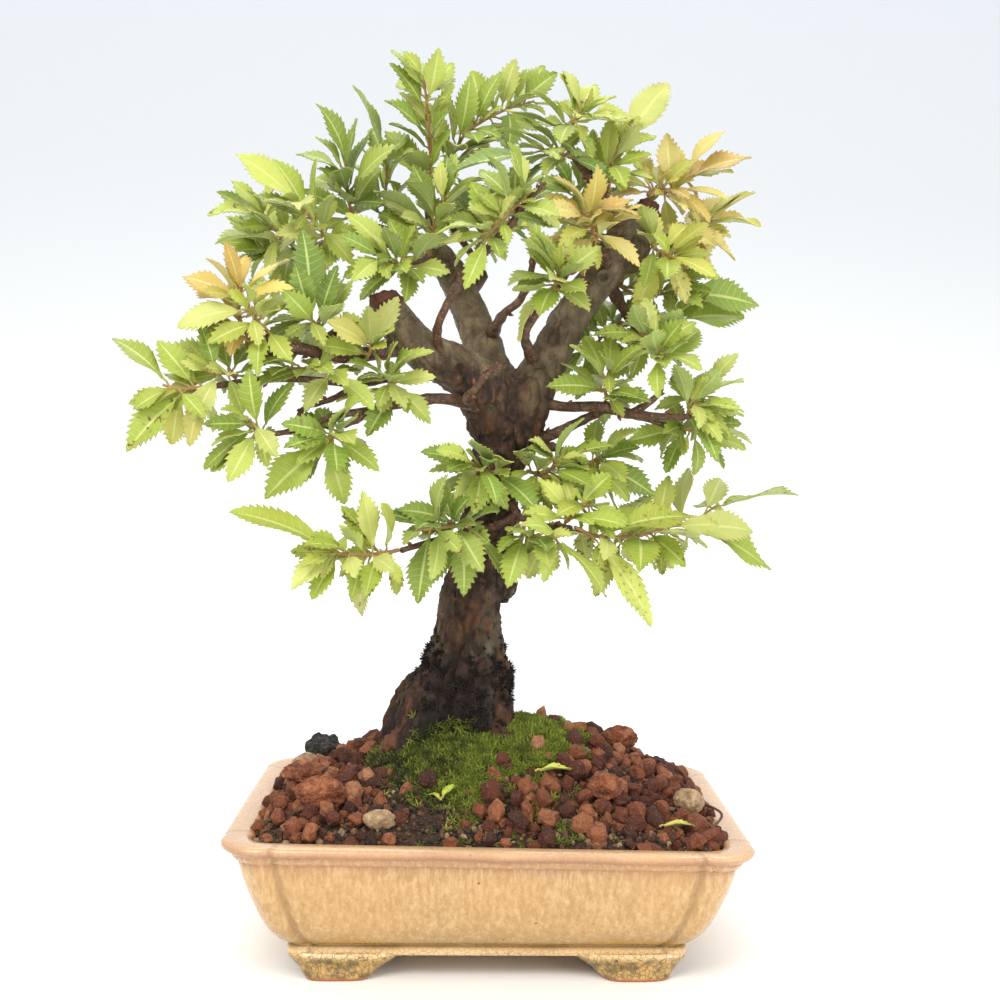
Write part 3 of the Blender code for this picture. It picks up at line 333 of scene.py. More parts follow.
glaze = Finish("honey_glaze")
level = glaze.reads("level")
drift = glaze.noise(glaze.sized(22, 22, 14), 2)
wander = glaze.plus(level, glaze.steps(drift, 0.25, 0.75, -0.55, 0.55))
height = glaze.maths("DIVIDE", wander, 46.0)
# Colours by height, partly the glaze breaking pale and pooling, partly painted light: the pale band on the
# lower lip and the pale rim top are painted highlights, and the darker bands under the rim's steps and in the
# groove above the lower lip are painted shade.
glaze_bands_and_painted_light = glaze.ramp(height, [
    (0.0, paint(150, 96, 48)), (0.03, paint(176, 128, 66)), (0.13, paint(176, 140, 70)),
    (0.165, paint(238, 205, 150)), (0.205, paint(214, 178, 124)), (0.24, paint(150, 118, 62)),
    (0.30, paint(176, 142, 86)), (0.42, paint(194, 156, 102)), (0.72, paint(198, 158, 104)),
    (0.80, paint(196, 152, 102)), (0.845, paint(178, 132, 94)), (0.885, paint(196, 150, 108)),
    (0.915, paint(158, 112, 78)), (0.94, paint(184, 138, 102)), (0.965, paint(206, 164, 122)),
    (1.0, paint(216, 176, 136)),
])
streaks = glaze.noise(glaze.sized(1.5, 1.5, 40), 3, 0.6)
fine_streaks = glaze.noise(glaze.sized(0.6, 0.6, 16), 2, 0.6)
runs = glaze.plus(glaze.times(streaks, 0.65), glaze.times(fine_streaks, 0.35))
panel = glaze.times(glaze.steps(level, 11, 15), glaze.steps(level, 40, 43, 1.0, 0.25))
light_runs = glaze.times(glaze.steps(runs, 0.47, 0.66), panel)
dark_runs = glaze.times(glaze.steps(runs, 0.53, 0.36), panel)
colour = glaze.mix(glaze.times(light_runs, 0.55), glaze_bands_and_painted_light, paint(224, 192, 144))
colour = glaze.mix(glaze.times(dark_runs, 0.6), colour, paint(170, 128, 76))
clouds = glaze.noise(glaze.sized(30, 30, 20), 2)
colour = glaze.mix(glaze.steps(clouds, 0.42, 0.75, 0.0, 0.25), colour, paint(208, 158, 92))
pool = glaze.reads("pool")
olive = glaze.mix(glaze.steps(fine_streaks, 0.35, 0.65), paint(150, 102, 46), paint(112, 84, 38))
colour = glaze.mix(glaze.steps(pool, 0.35, 1.0, 0.0, 0.4), colour, olive)
mottle = glaze.noise(glaze.sized(3.4), 5, 0.7)
foot_olive = glaze.mix(glaze.steps(mottle, 0.4, 0.62), paint(196, 158, 92), paint(96, 84, 40))
colour = glaze.mix(glaze.steps(level, 7.9, 6.6, 0.0, 0.85), colour, foot_olive)
crackle = glaze.steps(glaze.cells(glaze.sized(1.7), "DISTANCE_TO_EDGE"), 0.0, 0.07, 1.0, 0.0)
low_crackle = glaze.times(crackle, glaze.steps(level, 12, 7, 0.12, 0.8))
colour = glaze.mix(low_crackle, colour, paint(92, 60, 30))
specks = glaze.steps(glaze.cells(glaze.sized(7.3, 6.1, 6.7)), 0.075, 0.035)
speck_here = glaze.times(specks, glaze.steps(glaze.noise(glaze.sized(17), 2), 0.5, 0.6))
colour = glaze.mix(speck_here, colour, paint(84, 48, 26))
bare = glaze.steps(level, 1.3, 0.5)
clay = glaze.mix(glaze.noise(glaze.sized(1.2), 4), paint(196, 120, 66), paint(152, 86, 44))
colour = glaze.mix(bare, colour, clay)
gloss = glaze.most(glaze.steps(mottle, 0.3, 0.7, 0.2, 0.34), glaze.times(bare, 0.85))
skin = glaze.bump(glaze.noise(glaze.sized(7.5), 2), 0.3)
skin = glaze.bump(runs, 0.09, skin)
skin = glaze.bump(glaze.times(speck_here, -1.0), 0.25, skin)
skin = glaze.bump(glaze.times(low_crackle, -1.0), 0.05, skin)
pot.data.materials.clear()
pot.data.materials.append(glaze.set(base_color=colour, roughness=gloss, normal=skin, coat_weight=0.35,
                                    coat_roughness=0.12, ior=1.52))
finished(pot, "glaze", "pot")

# ----------------------------------------------------------------------------------------------------
# The drain screens. Squares of black moulded plastic net, laid over the two holes inside the pot before the
# soil goes in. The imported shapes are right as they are, so only their surface is finished.

net = Finish("black_screen_net")
grain = net.noise(net.sized(0.5), 3)
net_colour = net.mix(grain, paint(22, 22, 23), paint(44, 43, 42))
net_dirt = net.steps(net.noise(net.sized(4), 3), 0.5, 0.7, 0.0, 0.6)
net_colour = net.mix(net_dirt, net_colour, paint(70, 50, 34))
net.set(base_color=net_colour, roughness=net.steps(grain, 0.3, 0.7, 0.42, 0.6), normal=net.bump(grain, 0.06))
for name in ("drain_screen_left", "drain_screen_right"):
    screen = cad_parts[name]
    screen.data.materials.clear()
    screen.data.materials.append(net.material)

# ----------------------------------------------------------------------------------------------------
# The soil. A damp, dark mix of loam and fine grit, heaped up to the foot of the trunk, with red lava grains
# from 2 to 6 mm worked into the top on the right and the left, and finer grit and crumbs of bark between
# them.

SOIL_EDGE_Z = RIM_HEIGHT - 1.5
MOUND_HEIGHT = 26.0
MOUND_REACH = (54.0, 38.0)
SOIL_INSET = 9.2


def soil_height(x, y):
    mound = math.exp(-(abs(x - 2) / MOUND_REACH[0]) ** 3 - (abs(y) / MOUND_REACH[1]) ** 3)
    grit = 0.5 * math.sin(x * 0.9 + 1.3 * math.sin(y * 0.7)) * math.cos(y * 0.8 + 0.6 * math.sin(x * 0.5))
    return SOIL_EDGE_Z + MOUND_HEIGHT * mound + grit


def soil_bed():
    """The heap as a closed body: the pot's own outline below, and a lumpy mound on top."""
    edge = [(x, y) for x, y, _ in pot_outline(SOIL_INSET, 9, 0.6)][::2]
    rings = []
    for height, inset in ((14.6, 26), (17, 18.6), (25, 14.8), (37, 10.8)):
        half_x, half_y = RIM_HALF_X - inset, RIM_HALF_Y - inset
        share_x, share_y = half_x / (RIM_HALF_X - SOIL_INSET), half_y / (RIM_HALF_Y - SOIL_INSET)
        rings.append([(x * share_x, y * share_y, height) for x, y in edge])
    for step in range(48):
        scale = 1 - step / 48
        ring = []
        for x, y in edge:
            x, y = x * scale, y * scale
            lumps = 1.1 * noise.noise(Vector((x / 5.5, y / 5.5, 1)))
            lumps += 0.5 * noise.noise(Vector((x / 1.9, y / 1.9, 4)))
            sunk = 1.6 * max(0, (scale - 0.93) / 0.07)
            ring.append((x, y, soil_height(x, y) + lumps - sunk - 0.4 - RIM_SAG * x / RIM_HALF_X * scale))
        rings.append(ring)
    return make_object("soil_bed", *loft(rings))


def lava_share(x, y):
    """How thick the red grains lie: along the right and front right, and on the left, but not in the moss."""
    right = math.exp(-((x - 50) / 30) ** 4 - ((y + 4) / 54) ** 4)
    front = math.exp(-((x - 26) / 27) ** 4 - ((y + 38) / 15) ** 2)
    left = 0.95 * math.exp(-((x + 52) / 24) ** 4 - ((y + 2) / 46) ** 4)
    back = 0.8 * math.exp(-((y - 40) / 12) ** 2)
    patchy = 0.6 + 0.9 * noise.noise(Vector((x / 10, y / 10, 12)))
    return min(1, max(right, front, left, back) * (0.65 + patchy * 0.6))


soil = soil_bed()
soil.data.shade_smooth()


def open_soil(vertex):
    """1 where the top of the heap lies open, 0 on its sides and under the trunk."""
    x, y, z = vertex.co / MM
    under_trunk = ((x + 12) / 21) ** 2 + (y / 19) ** 2 < 1
    return float(z > SOIL_EDGE_Z - 3.2 and vertex.normal.z > 0.3 and not under_trunk)


def stray_moss(x, y):
    """How thick small loose cushions of moss stand on the soil, in front of the trunk and behind it."""
    front = math.exp(-((x - 2) / 30) ** 4 - ((y + 36) / 13) ** 4)
    back = 0.7 * math.exp(-((x + 4) / 34) ** 4 - ((y - 34) / 11) ** 4)
    patch = noise.noise(Vector((x / 5.5, y / 5.5, 31))) + 0.5 * noise.noise(Vector((x / 2.1, y / 2.1, 8)))
    return max(front, back) * min(1, max(0, 2.6 * (patch + 0.12)))


note(soil, "tuft_share", [open_soil(vertex) * stray_moss(vertex.co.x / MM, vertex.co.y / MM)
                          for vertex in soil.data.vertices])
note(soil, "grit_share", [open_soil(vertex) for vertex in soil.data.vertices])
note(soil, "lava_share", [open_soil(vertex) * lava_share(vertex.co.x / MM, vertex.co.y / MM)
                          for vertex in soil.data.vertices])

loam = Finish("damp_loam")
crumbs = loam.noise(loam.sized(1.1), 5, 0.7)
patches = loam.noise(loam.sized(12), 3)
loam_colour = loam.ramp(crumbs, [(0.3, paint(26, 18, 13)), (0.48, paint(62, 42, 29)),
                                 (0.6, paint(92, 62, 42)), (0.75, paint(130, 96, 64))])
loam_colour = loam.mix(loam.steps(patches, 0.45, 0.7, 0.0, 0.6), loam_colour, paint(24, 19, 15))
loam_skin = loam.bump(crumbs, 0.9)
loam_skin = loam.bump(loam.cells(loam.sized(0.9)), 0.5, loam_skin)
loam.set(base_color=loam_colour, roughness=loam.steps(patches, 0.4, 0.7, 0.95, 0.72), normal=loam_skin)
soil.data.materials.append(loam.material)


def grain_finish(name, stops, moss=0.0, shine=0.0):
    """Stone grains: each has its own shade of the ramp, with pores and dusty edges."""
    grit = Finish(name)
    own = grit.reads("tone")
    pores = grit.cells(grit.sized(0.45))
    shade = grit.ramp(own, stops)
    mottle = grit.noise(grit.sized(1.3), 4, 0.65)
    shade = grit.mix(grit.steps(mottle, 0.35, 0.7, 0.0, 0.55), shade, stops[0][1])
    shade = grit.mix(grit.steps(pores, 0.28, 0.05, 0.0, 0.75), shade, paint(34, 16, 10))
    dust = grit.steps(grit.noise(grit.sized(0.5), 3), 0.56, 0.7, 0.0, 0.4)
    shade = grit.mix(dust, shade, stops[-1][1])
    skin = grit.bump(pores, 0.3)
    skin = grit.bump(mottle, 0.5, skin)
    roughness = grit.steps(mottle, 0.3, 0.7, 0.95 - shine, 0.78 - shine)
    return grit.set(base_color=shade, roughness=roughness, normal=skin)


def sowing(name, share_name, *more_labels):
    """Starts Geometry Nodes that sow points over a bed where an attribute allows, with named inputs."""
    tree = bpy.data.node_groups.new(name, "GeometryNodeTree")
    sockets = {}
    for label in ("Geometry", "Spacing", "Density", "Smallest", "Largest", *more_labels, "Seed"):
        kind = "NodeSocket" + {"Geometry": "Geometry", "Seed": "Int"}.get(label, "Float")
        sockets[label] = tree.interface.new_socket(label, in_out="INPUT", socket_type=kind).identifier
    tree.interface.new_socket("Geometry", in_out="OUTPUT", socket_type="NodeSocketGeometry")
    given = tree.nodes.new("NodeGroupInput").outputs

    def add(kind, inputs, **settings):
        node = tree.nodes.new(kind)
        for key, value in settings.items():
            setattr(node, key, value)
        for key, value in inputs.items():
            if isinstance(value, bpy.types.NodeSocket):
                tree.links.new(value, node.inputs[key])
            else:
                node.inputs[key].default_value = value
        return node

    share = add("GeometryNodeInputNamedAttribute", {"Name": share_name}, data_type="FLOAT")
    spots = add("GeometryNodeDistributePointsOnFaces", {
        "Mesh": given["Geometry"], "Distance Min": given["Spacing"], "Density Max": given["Density"],
        "Density Factor": share.outputs["Attribute"], "Seed": given["Seed"],
    }, distribute_method="POISSON")
    size = add("FunctionNodeRandomValue", {
        2: given["Smallest"], 3: given["Largest"], "Seed": given["Seed"],
    }, data_type="FLOAT").outputs[1]
    return tree, sockets, given, add, spots, size


def made_solid(add, placed):
    """Gives each placed copy its own tone, and makes all of them one mesh."""
    tone = add("FunctionNodeRandomValue", {2: 0.0, 3: 1.0, "Seed": 11}, data_type="FLOAT")
    toned = add("GeometryNodeStoreNamedAttribute", {
        "Geometry": placed.outputs["Instances"], "Name": "tone", "Value": tone.outputs[1],
    }, data_type="FLOAT", domain="INSTANCE")
    return add("GeometryNodeRealizeInstances", {"Geometry": toned.outputs["Geometry"]}).outputs["Geometry"]


def coated(tree, add, geometry, material):
    """Ends the tree with its material."""
    coat = add("GeometryNodeSetMaterial", {"Geometry": geometry, "Material": material})
    tree.links.new(coat.outputs["Geometry"], tree.nodes.new("NodeGroupOutput").inputs[0])


def scatter_tree(name, material, share_name, cuts=2):
    """Geometry Nodes that sow grains and knead each one out of true."""
    tree, sockets, given, add, spots, size = sowing(name, share_name, "Knead", "Lift")
    ball = add("GeometryNodeMeshIcoSphere", {"Radius": 0.5, "Subdivisions": cuts})
    squash = add("FunctionNodeRandomValue", {
        0: (0.75, 0.65, 0.6), 1: (1.3, 1.05, 0.95), "Seed": 7,
    }, data_type="FLOAT_VECTOR")
    scale = add("ShaderNodeVectorMath", {0: squash.outputs["Value"], "Scale": size}, operation="SCALE")
    turn = add("FunctionNodeRandomValue", {0: (0, 0, 0), 1: (6.28, 6.28, 6.28), "Seed": 3},
               data_type="FLOAT_VECTOR")
    placed = add("GeometryNodeInstanceOnPoints", {
        "Points": spots.outputs["Points"], "Instance": ball.outputs["Mesh"],
        "Rotation": turn.outputs["Value"], "Scale": scale.outputs["Vector"],
    })
    solid = made_solid(add, placed)
    place = add("GeometryNodeInputPosition", {})
    rough = add("ShaderNodeTexNoise", {"Vector": place.outputs[0], "Scale": 420.0, "Detail": 2.0})
    centred = add("ShaderNodeVectorMath", {0: rough.outputs["Color"], 1: (0.5, 0.5, 0.5)},
                  operation="SUBTRACT")
    kneaded = add("ShaderNodeVectorMath", {0: centred.outputs["Vector"], "Scale": given["Knead"]},
                  operation="SCALE")
    lift = add("ShaderNodeCombineXYZ", {"Z": given["Lift"]})
    offset = add("ShaderNodeVectorMath", {0: kneaded.outputs["Vector"], 1: lift.outputs[0]}, operation="ADD")
    shaped = add("GeometryNodeSetPosition", {"Geometry": solid, "Offset": offset.outputs["Vector"]})
    coated(tree, add, shaped.outputs["Geometry"], material)
    return tree, sockets


def scattered(name, bed, tree_and_sockets, **wanted):
    """Grows one kind of scattered piece over a copy of a bed, and returns it as a plain mesh object."""
    tree, sockets = tree_and_sockets
    obj = bpy.data.objects.new(name, bed.data.copy())
    bpy.context.collection.objects.link(obj)
    modifier = obj.modifiers.new("sow", "NODES")
    modifier.node_group = tree
    for label, value in wanted.items():
        modifier[sockets[label.title()]] = value
    applied(obj)
    return obj


lava_stops = [(0.0, paint(58, 28, 17)), (0.3, paint(94, 46, 26)), (0.62, paint(134, 74, 44)),
              (0.88, paint(160, 98, 62)), (1.0, paint(176, 122, 84))]
lava = grain_finish("red_lava", lava_stops)
sow_lava = scatter_tree("sow_lava", lava, "lava_share")
low_grains = scattered("low_lava", soil, sow_lava, spacing=0.0027, density=160000.0, smallest=0.003,
                       largest=0.0058, knead=0.0032, lift=0.0004, seed=3)
top_grains = scattered("top_lava", soil, sow_lava, spacing=0.0048, density=52000.0, smallest=0.0044,
                       largest=0.0078, knead=0.0042, lift=0.0026, seed=21)
low_grains.name, top_grains.name = "lava_grains", "lava_top_grains"
finished(low_grains, "lava")
finished(top_grains, "lava")

grit_stops = [(0.0, paint(30, 22, 17)), (0.35, paint(66, 45, 31)), (0.6, paint(110, 70, 46)),
              (0.85, paint(142, 104, 70)), (1.0, paint(190, 164, 124))]
grit = grain_finish("fine_grit", grit_stops)
fine_grit = scattered("fine_grit", soil, scatter_tree("sow_grit", grit, "grit_share", 1), spacing=0.0013,
                      density=420000.0, smallest=0.0009, largest=0.003, knead=0.0014, lift=0.0003, seed=8)
finished(fine_grit, "soil")
finished(soil, "soil", "soil")

# ----------------------------------------------------------------------------------------------------
# The moss. One living cushion round the foot of the trunk, grown from spores: dark and sparse on the left,
# thick towards the right, and painted brighter there, where the light falls. It clings to the soil with fine
# threads; each tuft is a star of pointed leaves.

MOSS_MIDDLE_X = -6.0
MOSS_REACH = (42.0, 35.0)
MOSS_THICKNESS = 3.2


def moss_far(angle):
    """How far the cushion's ragged edge runs out at an angle, as a share of its usual reach."""
    lobes = 0.1 * math.sin(3 * angle + 1) + 0.08 * math.sin(7 * angle) + 0.06 * math.sin(13 * angle + 2)
    return 1 + lobes


def moss_cushion():
    rings = []
    around = 96
    for level in range(24):
        part = 1 - level / 24
        ring = []
        for i in range(around):
            angle = math.tau * i / around
            x = MOSS_MIDDLE_X + MOSS_REACH[0] * moss_far(angle) * part * math.cos(angle)
            y = MOSS_REACH[1] * moss_far(angle) * part * math.sin(angle)
            lumps = 0.75 + 0.55 * noise.noise(Vector((x / 4.2, y / 4.2, 7)))
            lumps += 0.25 * noise.noise(Vector((x / 1.6, y / 1.6, 2)))
            swell = MOSS_THICKNESS * (1 - part ** 6) * lumps + 0.25
            ring.append((x, y, soil_height(x, y) + swell - 0.5))
        rings.append(ring)
    foot = [(x, y, z - 2.6) for x, y, z in rings[0]]
    return make_object("moss_cushion", *loft([foot] + rings))


moss = moss_cushion()
moss.data.shade_smooth()


def tuft_share(vertex):
    """How thick the tufts stand: none under the trunk, and fewer towards the cushion's edge."""
    x, y, _ = vertex.co / MM
    inside_trunk = ((x + 12) / 19) ** 2 + (y / 17) ** 2 < 1
    edge = math.hypot((x - MOSS_MIDDLE_X) / MOSS_REACH[0], y / MOSS_REACH[1])
    return 0.0 if inside_trunk or vertex.normal.z < 0 else max(0.0, min(1.0, 2.2 - 1.5 * edge))


note(moss, "tuft_share", [tuft_share(vertex) for vertex in moss.data.vertices])


def moss_finish(name, dark, bright, tip):
    """Moss: dark at the soil and painted brighter to the right, as if the light fell there, with some tufts
    yellower by their own tone.
    """
    green = Finish(name)
    side = green.add("SeparateXYZ", {0: green.place}).outputs["X"]
    patch = green.noise(green.sized(9), 3)
    # Painted light: the moss is painted brighter to the right, where the light falls, in broad patches.
    painted_light_right = green.steps(green.plus(side, green.times(green.maths("SUBTRACT", patch, 0.5), 0.06)), -0.035,
                        0.012)
    base = green.mix(green.times(painted_light_right, green.steps(patch, 0.3, 0.6, 0.55, 1.0)), dark, bright)
    own = green.reads("tone")
    base = green.mix(green.steps(own, 0.45, 1.0, 0.0, 0.75), base, tip)
    base = green.mix(green.steps(green.noise(green.sized(2.2), 3), 0.56, 0.7, 0.0, 0.7), base,
                     paint(58, 46, 20))
    return green.set(base_color=base, roughness=green.steps(own, 0.0, 1.0, 0.9, 0.62),
                     normal=green.bump(green.noise(green.sized(0.6), 3), 0.5))


def moss_tuft():
    """One tuft: five pointed leaves round an upright one, each a thin closed spike, standing 1 unit high."""
    points, faces = [], []
    for i in range(6):
        angle = math.tau * i / 5
        lean = 0.75 if i < 5 else 0.1
        out = Vector((math.cos(angle), math.sin(angle), 0))
        side = Vector((-math.sin(angle), math.cos(angle), 0)) * 0.17
        first = len(points)
        points += [side - out * 0.05, -side - out * 0.05, out * 0.14,
                   out * lean + Vector((0, 0, 1.0 - 0.3 * lean))]
        faces += [(first, first + 1, first + 3), (first + 1, first + 2, first + 3),
                  (first + 2, first, first + 3), (first, first + 2, first + 1)]
    return make_object("tuft", [point / MM for point in points], faces)


def tuft_tree(name, tuft, material, share_name="tuft_share"):
    """Geometry Nodes that plant tufts upright over a cushion, each with its own lean, size and shade."""
    tree, sockets, given, add, spots, size = sowing(name, share_name)
    shape = add("GeometryNodeObjectInfo", {"Object": tuft})
    lean = add("FunctionNodeRandomValue", {
        0: (-0.4, -0.4, 0), 1: (0.4, 0.4, 6.28), "Seed": 5,
    }, data_type="FLOAT_VECTOR")
    placed = add("GeometryNodeInstanceOnPoints", {
        "Points": spots.outputs["Points"], "Instance": shape.outputs["Geometry"],
        "Rotation": spots.outputs["Rotation"], "Scale": size,
    })
    turned = add("GeometryNodeRotateInstances", {
        "Instances": placed.outputs["Instances"], "Rotation": lean.outputs["Value"],
    })
    coated(tree, add, made_solid(add, turned), material)
    return tree, sockets


# In each moss finish the second colour is the moss painted as lit, on the right.
cushion_green = moss_finish("moss_bed", paint(24, 26, 9), paint(62, 70, 22), paint(100, 108, 34))
tuft_green = moss_finish("moss_tufts", paint(40, 47, 13), paint(116, 130, 34), paint(172, 178, 66))
moss.data.materials.append(cushion_green)
tuft = moss_tuft()
plant_moss = tuft_tree("plant_moss", tuft, tuft_green)
moss_tufts = scattered("moss_tufts", moss, plant_moss, spacing=0.00048, density=3600000.0, smallest=0.0009,
                       largest=0.0026, seed=2)
stray_tufts = scattered("stray_tufts", soil, plant_moss, spacing=0.00055, density=2600000.0, smallest=0.0009,
                        largest=0.0028, seed=6)
finished(moss_tufts, "moss")
finished(stray_tufts, "moss")
finished(moss, "moss", "moss")

# ----------------------------------------------------------------------------------------------------
# The loose stones. The largest lumps of lava, charcoal and river pebble in the mix, lying where they fell.
# Lava is full of burst bubbles, charcoal splits along its grain, and the pebbles are worn nearly smooth.


def lumpy(name, low, high, seed, rough, pits, flatness):
    """A stone that fills a box: a ball pushed in by broad dents, chipped flats and small pits."""
    shell = bmesh.new()
    bmesh.ops.create_icosphere(shell, subdivisions=5, radius=1)
    shift = Vector((seed * 13.7, seed * 5.1, seed * 2.3))
    rng = random.Random(seed)
    flats = [Vector([rng.uniform(-1, 1) for _ in range(3)]).normalized() for _ in range(9)]
    for vertex in shell.verts:
        spot = vertex.co.copy()
        size = 1 + rough * noise.fractal(spot * 1.4 + shift, 0.9, 2.0, 4)
        for flat in flats:
            over = spot.dot(flat) * size - flatness
            if over > 0:
                size -= over * 0.85
        gap = noise.voronoi(spot * 5.2 + shift)[0][0]
        size -= pits * max(0, 0.34 - gap)
        vertex.co = spot * size
    spans = [[vertex.co[axis] for vertex in shell.verts] for axis in range(3)]
    points = []
    for vertex in shell.verts:
        point = []
        for axis in range(3):
            share = (vertex.co[axis] - min(spans[axis])) / (max(spans[axis]) - min(spans[axis]))
            point.append((low[axis] + (high[axis] - low[axis]) * share) / MM)
        points.append(point)
    faces = [tuple(vertex.index for vertex in face.verts) for face in shell.faces]
    shell.free()
    stone = make_object(name, points, faces)
    stone.data.shade_smooth()
    return stone


def stone_finish(name, dark, middle, light, pore, gloss):
    rock = Finish(name)
    body = rock.noise(rock.sized(3.1), 5, 0.65)
    shade = rock.ramp(body, [(0.3, dark), (0.5, middle), (0.68, light)])
    holes = rock.cells(rock.sized(pore))
    shade = rock.mix(rock.steps(holes, 0.3, 0.08, 0.0, 0.7), shade, dark)
    dust = rock.steps(rock.noise(rock.sized(0.7), 3), 0.55, 0.7, 0.0, 0.45)
    shade = rock.mix(dust, shade, light)
    skin = rock.bump(holes, 0.35)
    skin = rock.bump(body, 0.7, skin)
    return rock.set(base_color=shade, roughness=rock.steps(body, 0.3, 0.7, gloss + 0.12, gloss), normal=skin)


stone_looks = {
    "lava": (stone_finish("lava_lump", paint(66, 30, 18), paint(128, 70, 42), paint(170, 110, 72), 0.7, 0.82),
             0.3, 0.5, 0.86),
    "charcoal": (stone_finish("charcoal", paint(14, 13, 12), paint(38, 35, 32), paint(82, 76, 68), 1.1, 0.7),
                 0.42, 0.35, 0.8),
    "pebble": (stone_finish("river_pebble", paint(104, 78, 52), paint(158, 128, 92), paint(196, 172, 136),
                            1.6, 0.6),
               0.16, 0.1, 0.92),
}
for number, node in enumerate(sorted(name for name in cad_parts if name.startswith("stone_"))):
    kind = node.split("_")[1]
    look, rough, pits, flatness = stone_looks[kind]
    stone = lumpy(node.replace("stone_", "loose_"), *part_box(node), number + 1, rough, pits, flatness)
    stone.data.materials.append(look)
    finished(stone, kind, node)

# ----------------------------------------------------------------------------------------------------
# The tree's wood. Roots, trunk, three limbs and their twigs, all one growth. The trunk's bark is dark, flaky
# and cracked, and the limbs' is smooth grey-olive with orange pores. Two limbs end in old pruning stubs.

# Each woody member: the points its heart passes through, with the radius there.
TRUNK = [
    (-12, 0, 52, 25), (-12, 0, 60, 23.5), (-12, 0, 66, 22), (-12, 0, 74, 20), (-11, 0, 82, 18),
    (-8, 0, 89, 15.5), (-7, 0, 97, 12.4), (-7, 0, 105, 10.5), (-6, 0, 114, 10.3), (-3, 0, 125, 10),
    (-1, 1, 137, 9.3), (0, 2, 145, 9), (1, 2, 152, 9.2), (4, 2, 160, 10), (6, 2, 168, 11.4),
    (6, 2, 175, 12.6), (7, 3, 181, 11), (8, 3, 186, 6),
]
LIMBS = [
    [(3, 0, 168, 9), (0, -1, 176, 9.5), (-4, -4, 183, 9), (-12, -8, 188, 7.6), (-20, -12, 192, 6.8),
     (-26, -16, 197, 6.4), (-31, -20, 203, 5.8), (-34, -22, 209, 4.8), (-34.5, -22.4, 210.4, 3)],
    [(5, 4, 172, 9), (3, 6, 180, 8.4), (0, 10, 190, 6.9), (-4, 16, 200, 6.2), (-9, 22, 213, 5.8),
     (-14, 26, 223, 5.4), (-21, 30, 231, 4.3), (-32, 32, 234, 3), (-49, 34, 234, 2.5), (-67, 32, 230, 1.7),
     (-69, 32, 229.6, 1)],
    [(8, 2, 168, 9), (11, 2, 177, 9), (16, 4, 187, 7.2), (22, 6, 197, 6.4), (27, 8, 207, 6.1),
     (34, 10, 217, 6.2), (41, 12, 226, 6.8), (47, 14, 234, 7.2), (51, 15, 240, 5.8), (54, 16, 245, 3.4),
     (54.6, 16, 246, 2)],
]
